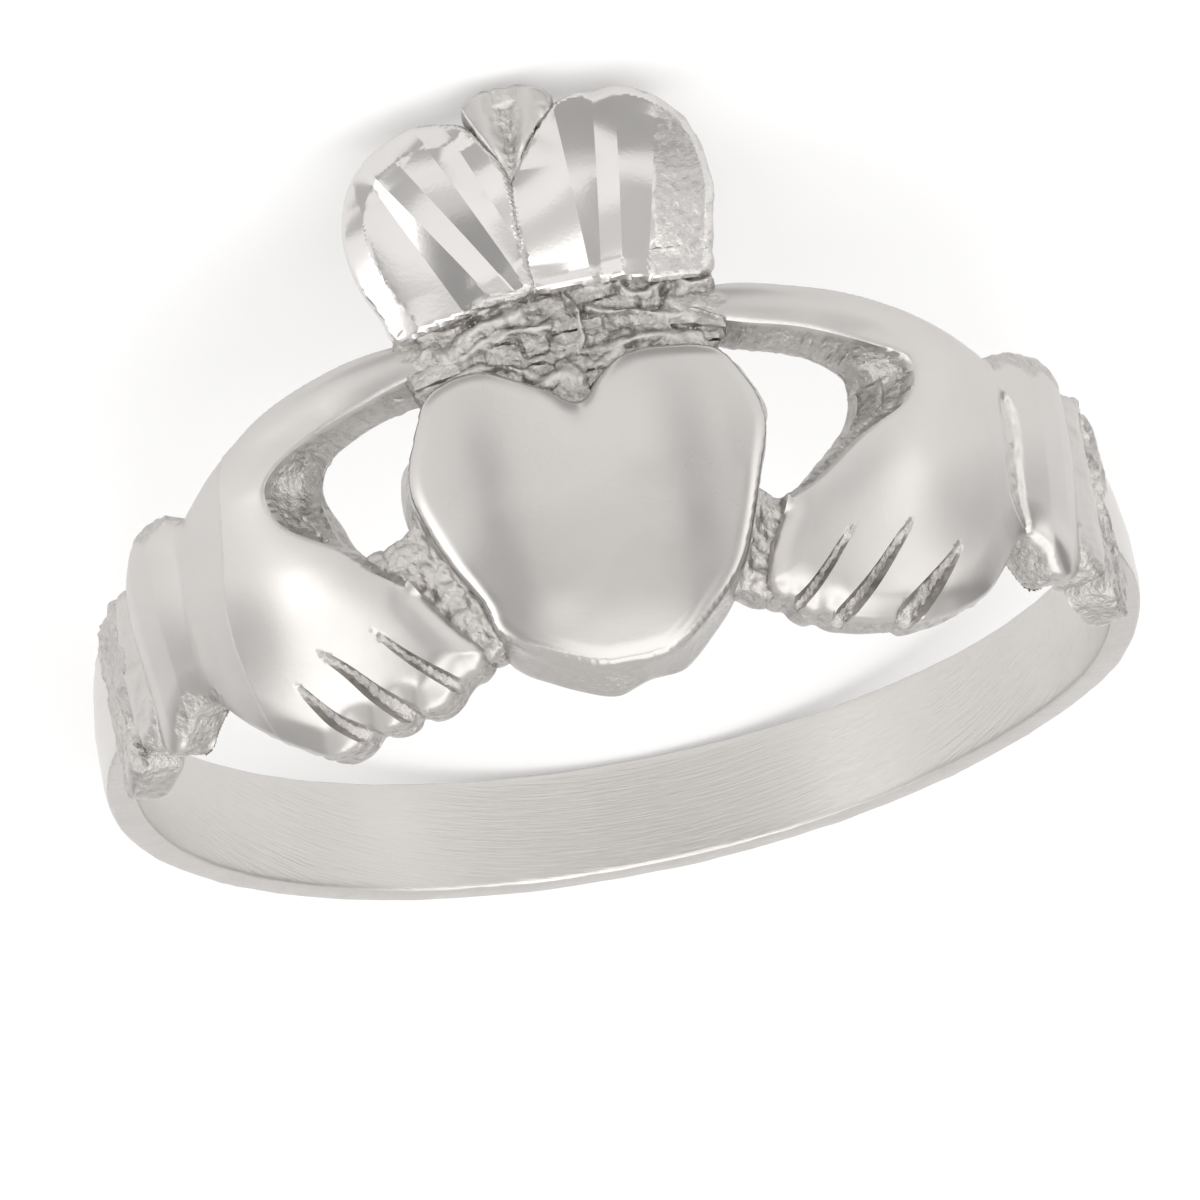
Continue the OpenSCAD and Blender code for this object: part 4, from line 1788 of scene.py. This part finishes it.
@dataclass
class Band:
    """The plain band, swept round the finger by Geometry Nodes.

    Attributes:
        width: width along the finger.
        edge: thickness at the edges.
        crown: rise of the outside between its edges.
        start: angle from the head's middle at which the band starts, in degrees.
        upper_out: how far the upper edge was left standing out when the band was filed.
        lower_out: the same for the lower edge.
        lower_lean: lean of the lower edge from side to side.
        heel: how far the lower edge stands out behind the shoulders, and the angle of its
            middle and its reach in degrees.
        heel_left: share of the heel that the left side has.
        filed: how much was filed off the outside beside the shoulders, and where.
        spread: how far the lower edge stands out from the finger there, and where.
        uneven: height of the unevenness of the edges.
    """

    width: float = 1.9
    edge: float = 0.5
    crown: float = 0.07
    start: float = 36.5
    upper_out: float = 0.05
    lower_out: float = 0.02
    lower_lean: float = 0.014
    heel: tuple[float, float, float] = (0.11, 108.0, 14.0)
    heel_left: float = 0.3
    filed: tuple[float, float, float] = (0.12, 84.0, 16.0)
    spread: tuple[float, float, float] = (0.03, 100.0, 16.0)
    uneven: float = 0.03

    ROUND_STEPS = 360  # points round the band
    PROFILE_STEPS = 48  # points round its profile
    SQUARE = 0.16  # power that presses a circle to a square with rounded corners
    CREASE = 35.0  # angle in degrees past which an edge stays sharp

    def tree(self) -> bpy.types.GeometryNodeTree:
        """Builds the tree: an arc, a profile swept along it and the finish.

        Returns:
            The tree, with its sizes and finish as inputs.
        """
        tree = bpy.data.node_groups.new("band_sweep", "GeometryNodeTree")
        face = tree.interface
        face.new_socket("Geometry", in_out="INPUT", socket_type="NodeSocketGeometry")
        for name in ("Radius", "Start Angle", "Sweep Angle", "Width", "Edge", "Crown"):
            face.new_socket(name, in_out="INPUT", socket_type="NodeSocketFloat")
        face.new_socket("Finish", in_out="INPUT", socket_type="NodeSocketMaterial")
        face.new_socket("Geometry", in_out="OUTPUT", socket_type="NodeSocketGeometry")
        wires = Wires(tree)
        nodes, links, maths = wires.nodes, wires.links, wires.maths
        given, out = nodes.new("NodeGroupInput"), nodes.new("NodeGroupOutput")
        arc = nodes.new("GeometryNodeCurveArc")
        arc.inputs["Resolution"].default_value = self.ROUND_STEPS
        for name in ("Radius", "Start Angle", "Sweep Angle"):
            links.new(given.outputs[name], arc.inputs[name])

        def squared_off(value: bpy.types.NodeSocket) -> bpy.types.NodeSocket:
            """Presses the circle towards a square with rounded corners."""
            power = maths(Maths.POWER, maths(Maths.ABSOLUTE, value), self.SQUARE)
            return maths(Maths.MULTIPLY, maths(Maths.SIGN, value), power)

        circle = nodes.new("GeometryNodeCurvePrimitiveCircle")
        circle.mode = "RADIUS"
        circle.inputs["Resolution"].default_value = self.PROFILE_STEPS
        circle.inputs["Radius"].default_value = 1.0
        position = nodes.new("GeometryNodeInputPosition")
        split = nodes.new("ShaderNodeSeparateXYZ")
        links.new(position.outputs[0], split.inputs[0])
        across = squared_off(split.outputs["X"])
        through = squared_off(split.outputs["Y"])
        half_width = maths(Maths.MULTIPLY, given.outputs["Width"], 0.5)
        half_edge = maths(Maths.MULTIPLY, given.outputs["Edge"], 0.5)
        arch = maths(Maths.SUBTRACT, 1.0, maths(Maths.MULTIPLY, across, across))
        bulge = maths(Maths.MULTIPLY, arch, given.outputs["Crown"])
        outside = maths(Maths.ABOVE, through, 0.0)
        flat = maths(Maths.MULTIPLY, through, half_edge)
        joined = nodes.new("ShaderNodeCombineXYZ")
        arched = maths(Maths.MULTIPLY, bulge, outside)
        links.new(maths(Maths.ADD, flat, arched), joined.inputs["X"])
        links.new(maths(Maths.MULTIPLY, across, half_width), joined.inputs["Y"])
        profile = nodes.new("GeometryNodeSetPosition")
        links.new(circle.outputs["Curve"], profile.inputs["Geometry"])
        links.new(joined.outputs[0], profile.inputs["Position"])

        sweep = nodes.new("GeometryNodeCurveToMesh")
        sweep.inputs["Fill Caps"].default_value = True
        links.new(arc.outputs["Curve"], sweep.inputs["Curve"])
        links.new(profile.outputs["Geometry"], sweep.inputs["Profile Curve"])
        realize = nodes.new("GeometryNodeRealizeInstances")
        finish = nodes.new("GeometryNodeSetMaterial")
        links.new(sweep.outputs["Mesh"], realize.inputs["Geometry"])
        links.new(realize.outputs["Geometry"], finish.inputs["Geometry"])
        links.new(given.outputs["Finish"], finish.inputs["Material"])
        links.new(finish.outputs["Geometry"], out.inputs["Geometry"])
        return tree

    def sweep(self, finish: bpy.types.Material) -> tuple[Points, list[list[int]]]:
        """Runs the tree and takes over its mesh.

        Args:
            finish: finish of the band.

        Returns:
            Rows of x, y and z of the upright band in millimetres, and its faces' corners.
        """
        carrier = bpy.data.objects.new("band_carrier", bpy.data.meshes.new("band_carrier"))
        bpy.context.scene.collection.objects.link(carrier)
        modifier = carrier.modifiers.new("sweep", "NODES")
        modifier.node_group = self.tree()
        values = {
            "Radius": PLACE.finger_r + self.edge / 2,
            "Start Angle": math.radians(self.start - 90),
            "Sweep Angle": math.radians(360 - 2 * self.start),
            "Width": self.width,
            "Edge": self.edge,
            "Crown": self.crown,
            "Finish": finish,
        }
        for item in modifier.node_group.interface.items_tree:
            if item.in_out == "INPUT" and item.name in values:
                modifier[item.identifier] = values[item.name]
        graph = bpy.context.evaluated_depsgraph_get()
        mesh = bpy.data.meshes.new_from_object(carrier.evaluated_get(graph))
        carrier.modifiers.remove(modifier)
        bpy.data.objects.remove(carrier)
        spots = np.zeros(len(mesh.vertices) * 3)
        mesh.vertices.foreach_get("co", spots)
        faces = [list(p.vertices) for p in mesh.polygons]
        bpy.data.meshes.remove(mesh)
        return spots.reshape(-1, 3), faces

    def roughness(self, spots: Points) -> np.ndarray:
        """The edges are a little rough, and more so at the outside's corners.

        Args:
            spots: rows of x, y and z in millimetres.

        Returns:
            How rough each row is, 0 to 1.
        """
        across = np.abs(spots[:, 2])
        outer = np.linalg.norm(spots[:, :2], axis=1) > PLACE.finger_r + self.edge - 0.03
        edges = np.where(across > self.width / 2 - 0.02, 0.35, 0.0)
        return np.where((across > self.width / 2 - 0.06) & outer, 0.8, edges)

    def filed_down(self, spots: Points, rough: np.ndarray) -> Points:
        """Moves the edges and the outside to where casting and filing left them.

        Args:
            spots: rows of x, y and z in millimetres.
            rough: how rough each row is.

        Returns:
            The moved rows.
        """
        x, z = spots[:, 0], spots[:, 2]
        radius = np.linalg.norm(spots[:, :2], axis=1)
        round_way = np.degrees(np.arctan2(np.abs(x), -spots[:, 1]))
        heel, filed, spread = (
            amount * swell(round_way, middle, reach)
            for amount, middle, reach in (self.heel, self.filed, self.spread)
        )
        moved = spots.copy()
        moved[:, 2] += self.uneven * rough * rough_noise(spots, 0.5, 91)
        lower = self.lower_lean * x - self.lower_out - heel * np.where(x > 0, 1, self.heel_left)
        moved[:, 2] += np.where(z > 0, self.upper_out, lower)
        # beside the shoulders the outside was filed away towards the upper edge
        out = spread * ramp(z, -0.2, -0.9) - filed * ease(0.4 + 0.6 * z)
        outside = radius > PLACE.finger_r + self.edge / 2
        moved[:, :2] *= np.where(outside, 1 + out / radius, 1.0)[:, None]
        return moved

    def build(self, finishes: Finishes) -> None:
        """Makes the band.

        Args:
            finishes: material of each finish.
        """
        finish = finishes[Silver.BRUSHED]
        spots, faces = self.sweep(finish)
        rough = self.roughness(spots)
        spots = self.filed_down(spots, rough)
        if signed_volume(spots, faces) < 0:
            faces = [f[::-1] for f in faces]
        dress(finish_mesh("band", PLACE.lay(spots), faces, rough, finish, self.CREASE))


def signed_volume(spots: Points, faces: Sequence[Sequence[int]]) -> float:
    """Volume inside a closed mesh.

    Args:
        spots: rows of x, y and z.
        faces: corners of each face.

    Returns:
        The volume, below 0 where the mesh is inside out.
    """
    total = 0.0
    for f in faces:
        for i in range(1, len(f) - 1):
            total += float(np.dot(spots[f[0]], np.cross(spots[f[i]], spots[f[i + 1]])))
    return total / 6


# The studio


@dataclass(frozen=True)
class Photograph:
    """How the photograph's camera looks at the upright ring.

    Attributes:
        size: pixels of the square picture.
        scale: pixels to the millimetre.
        below: angle of the camera below the ring's middle plane.
        roll: turn of the picture.
        aside: angle of the camera to the side of the heart.
        centre: pixel on which the middle of the finger hole falls.
        away: distance of the camera in millimetres.
    """

    size: float = 1200.0
    scale: float = 57.39
    below: float = math.radians(20.1)
    roll: float = math.radians(10.88)
    aside: float = math.radians(-1.0)
    centre: tuple[float, float] = (613.7, 644.1)
    away: float = 120.0

    def place_camera(self) -> None:
        """Makes the scene's camera, which sees the ring as the photograph does."""
        e, a, r = -self.below, self.aside, self.roll
        back = Vector((math.sin(a) * math.cos(e), -math.cos(a) * math.cos(e), math.sin(e)))
        right = (-back).cross(Vector((0, 0, 1))).normalized()
        up = right.cross(-back).normalized()
        x = math.cos(r) * right - math.sin(r) * up
        y = math.sin(r) * right + math.cos(r) * up
        aim = (
            (self.size / 2 - self.centre[0]) / self.scale * x
            + (self.centre[1] - self.size / 2) / self.scale * y
        )
        turn = PLACE.matrix.to_3x3()
        data = bpy.data.cameras.new("camera")
        data.type = "ORTHO"
        data.ortho_scale = self.size / self.scale * MM
        data.clip_start, data.clip_end = 0.001, 10.0
        camera = bpy.data.objects.new("camera", data)
        bpy.context.scene.collection.objects.link(camera)
        axes = Matrix((turn @ x, turn @ y, turn @ back)).transposed().to_4x4()
        axes.translation = turn @ (aim + back * self.away) * MM
        camera.matrix_world = axes
        bpy.context.scene.camera = camera


def sheet(name: str, size: tuple[float, float], tone: float, matt: float = 1.0,
          glow: float = 0.0) -> bpy.types.Object:
    """Makes a level sheet of the stage.

    Args:
        name: name of the sheet.
        size: extents along x and y in metres.
        tone: tone of its grey.
        matt: its roughness.
        glow: strength of the light that it gives.

    Returns:
        The sheet, linked to the scene at the origin.
    """
    w, h = size[0] / 2, size[1] / 2
    mesh = bpy.data.meshes.new(name)
    mesh.from_pydata([(-w, -h, 0), (w, -h, 0), (w, h, 0), (-w, h, 0)], [], [(0, 1, 2, 3)])
    felt = bpy.data.materials.new(name)
    felt.use_nodes = True
    shader = felt.node_tree.nodes["Principled BSDF"]
    shader.inputs["Base Color"].default_value = (tone, tone, tone, 1)
    shader.inputs["Roughness"].default_value = matt
    shader.inputs["Emission Color"].default_value = (1, 1, 1, 1)
    shader.inputs["Emission Strength"].default_value = glow
    mesh.materials.append(felt)
    made = bpy.data.objects.new(name, mesh)
    bpy.context.scene.collection.objects.link(made)
    return made


@dataclass(frozen=True)
class Card:
    """A card or strip light that stands beside the ring, out of the picture.

    Attributes:
        name: name of the card.
        azimuth: angle to the right of the heart's front, in degrees.
        elevation: angle above the floor, in degrees.
        distance: distance from the finger hole in metres.
        size: width and height in metres.
        power: power in watts, or 0 for a grey card.
        tone: tone of a grey card.
    """

    name: str
    azimuth: float
    elevation: float
    distance: float
    size: tuple[float, float]
    power: float
    tone: float = 0.3

    def place(self) -> None:
        """Makes the card and turns it to the ring."""
        # with the crown down, the ring's right lies along -X
        a, e = math.radians(self.azimuth), math.radians(self.elevation)
        way = Vector((-math.sin(a) * math.cos(e), -math.cos(a) * math.cos(e), math.sin(e)))
        if self.power > 0:
            data = bpy.data.lights.new(self.name, "AREA")
            data.shape = "RECTANGLE"
            data.size, data.size_y = self.size
            data.energy = self.power
            card = bpy.data.objects.new(self.name, data)
            bpy.context.scene.collection.objects.link(card)
        else:
            card = sheet(self.name, self.size, self.tone)
        card.location = way * self.distance
        card.rotation_mode = "QUATERNION"
        card.rotation_quaternion = way.to_track_quat("Z", "Y")
        card.visible_camera = False


@dataclass(frozen=True)
class DarkReflectionCard:
    """A grey card just above the floor before the crown, seen only in the metal.

    Attributes:
        name: name of the card.
        middle: x and y of its middle in metres.
        size: extents along x and y in metres.
        tone: its tone.
    """

    name: str
    middle: tuple[float, float]
    size: tuple[float, float]
    tone: float

    def place(self) -> None:
        """Makes the card and lays it down."""
        # A painted dark reflection: only the metal sees the card, which casts no shadow.
        card = sheet(self.name, self.size, self.tone)
        card.location = (*self.middle, cad_box[0].z + 0.1 * MM)
        card.visible_camera = False
        card.visible_diffuse = False
        card.visible_shadow = False


@dataclass(frozen=True)
class Studio:
    """The pale floor, the even light of the room, the softboxes and the cards.

    Attributes:
        floor_size: length and width of the floor in metres.
        floor_tone: tone of the floor.
        floor_matt: roughness of the floor.
        floor_glow: glow of the floor, which is no lamp: painted light that lifts the floor's
            shadows and keeps it white.
        room_light: strength of the light that comes from all sides.
        room_tint: colour of that light.
        cards: the softboxes, strip lights and cards round the ring.
        floor_cards: the cards on the floor before the crown, painted dark reflections that only
            the metal sees.
    """

    floor_size: tuple[float, float] = (3.0, 3.0)
    floor_tone: float = 0.72
    floor_matt: float = 0.9
    floor_glow: float = 0.24
    room_light: float = 0.86
    room_tint: tuple[float, float, float] = (1.0, 0.99, 0.98)
    cards: Sequence[Card] = (
        Card("top_box", 180.0, 84.0, 0.35, (0.35, 0.35), 0.38),
        Card("front_box", 0.0, 34.0, 0.20, (0.30, 0.16), 0.15),
        Card("right_strip", 60.0, 6.0, 0.045, (0.012, 0.030), 0.0010),
        Card("left_strip", -54.0, 6.0, 0.045, (0.016, 0.030), 0.0022),
        Card("left_flag", -22.0, 3.0, 0.042, (0.006, 0.034), 0.0, 0.58),
        Card("right_flag", 26.0, 3.0, 0.042, (0.006, 0.034), 0.0, 0.60),
        Card("right_screen", 43.0, 3.0, 0.043, (0.010, 0.034), 0.0, 0.72),
        Card("far_left_flag", -78.0, 3.0, 0.042, (0.012, 0.034), 0.0, 0.45),
        Card("tip_box", 62.0, 50.0, 0.20, (0.12, 0.12), 0.040),
        Card("left_wall", -112.0, 4.0, 0.044, (0.034, 0.036), 0.0, 0.52),
        Card("right_wall", 104.0, 4.0, 0.044, (0.050, 0.036), 0.0, 0.38),
        Card("left_screen", -37.0, 20.0, 0.060, (0.018, 0.032), 0.0, 0.42),
    )
    # Painted dark reflections in the crown's facets, seen only in the metal.
    floor_cards: Sequence[DarkReflectionCard] = (
        DarkReflectionCard("crown_dark_reflection_near", (-0.00475, -0.0152), (0.0085, 0.0060), 0.42),
        DarkReflectionCard("crown_dark_reflection_far", (-0.00475, -0.0209), (0.0085, 0.0054), 0.62),
        DarkReflectionCard("crown_dark_reflection_left", (0.0050, -0.0148), (0.0080, 0.0052), 0.50),
    )

    def build(self) -> None:
        """Makes the studio."""
        # The floor glows though it is no lamp: painted light that lifts its shadows.
        floor = sheet(
            "floor", self.floor_size, self.floor_tone, self.floor_matt, self.floor_glow
        )
        floor.location.z = cad_box[0].z
        world = bpy.data.worlds.new("room")
        world.use_nodes = True
        room = world.node_tree.nodes["Background"]
        room.inputs["Color"].default_value = (*self.room_tint, 1)
        room.inputs["Strength"].default_value = self.room_light
        bpy.context.scene.world = world
        for card in (*self.cards, *self.floor_cards):
            card.place()
        bpy.context.scene.view_settings.view_transform = "Standard"


def main() -> None:
    """Builds the ring's pieces, the studio and the camera."""
    logging.basicConfig(level=logging.INFO, format="%(message)s")
    Photograph().place_camera()
    finishes = {silver: silver.value.build() for silver in Silver}
    Band().build(finishes)
    Heart().build(finishes)
    Crown().build(finishes)
    for side in Side:
        Hand(side).build(finishes)
        Joint(side).build(finishes)
        Cuff(side).build(finishes)
    Studio().build()


if __name__ == "__main__":
    main()
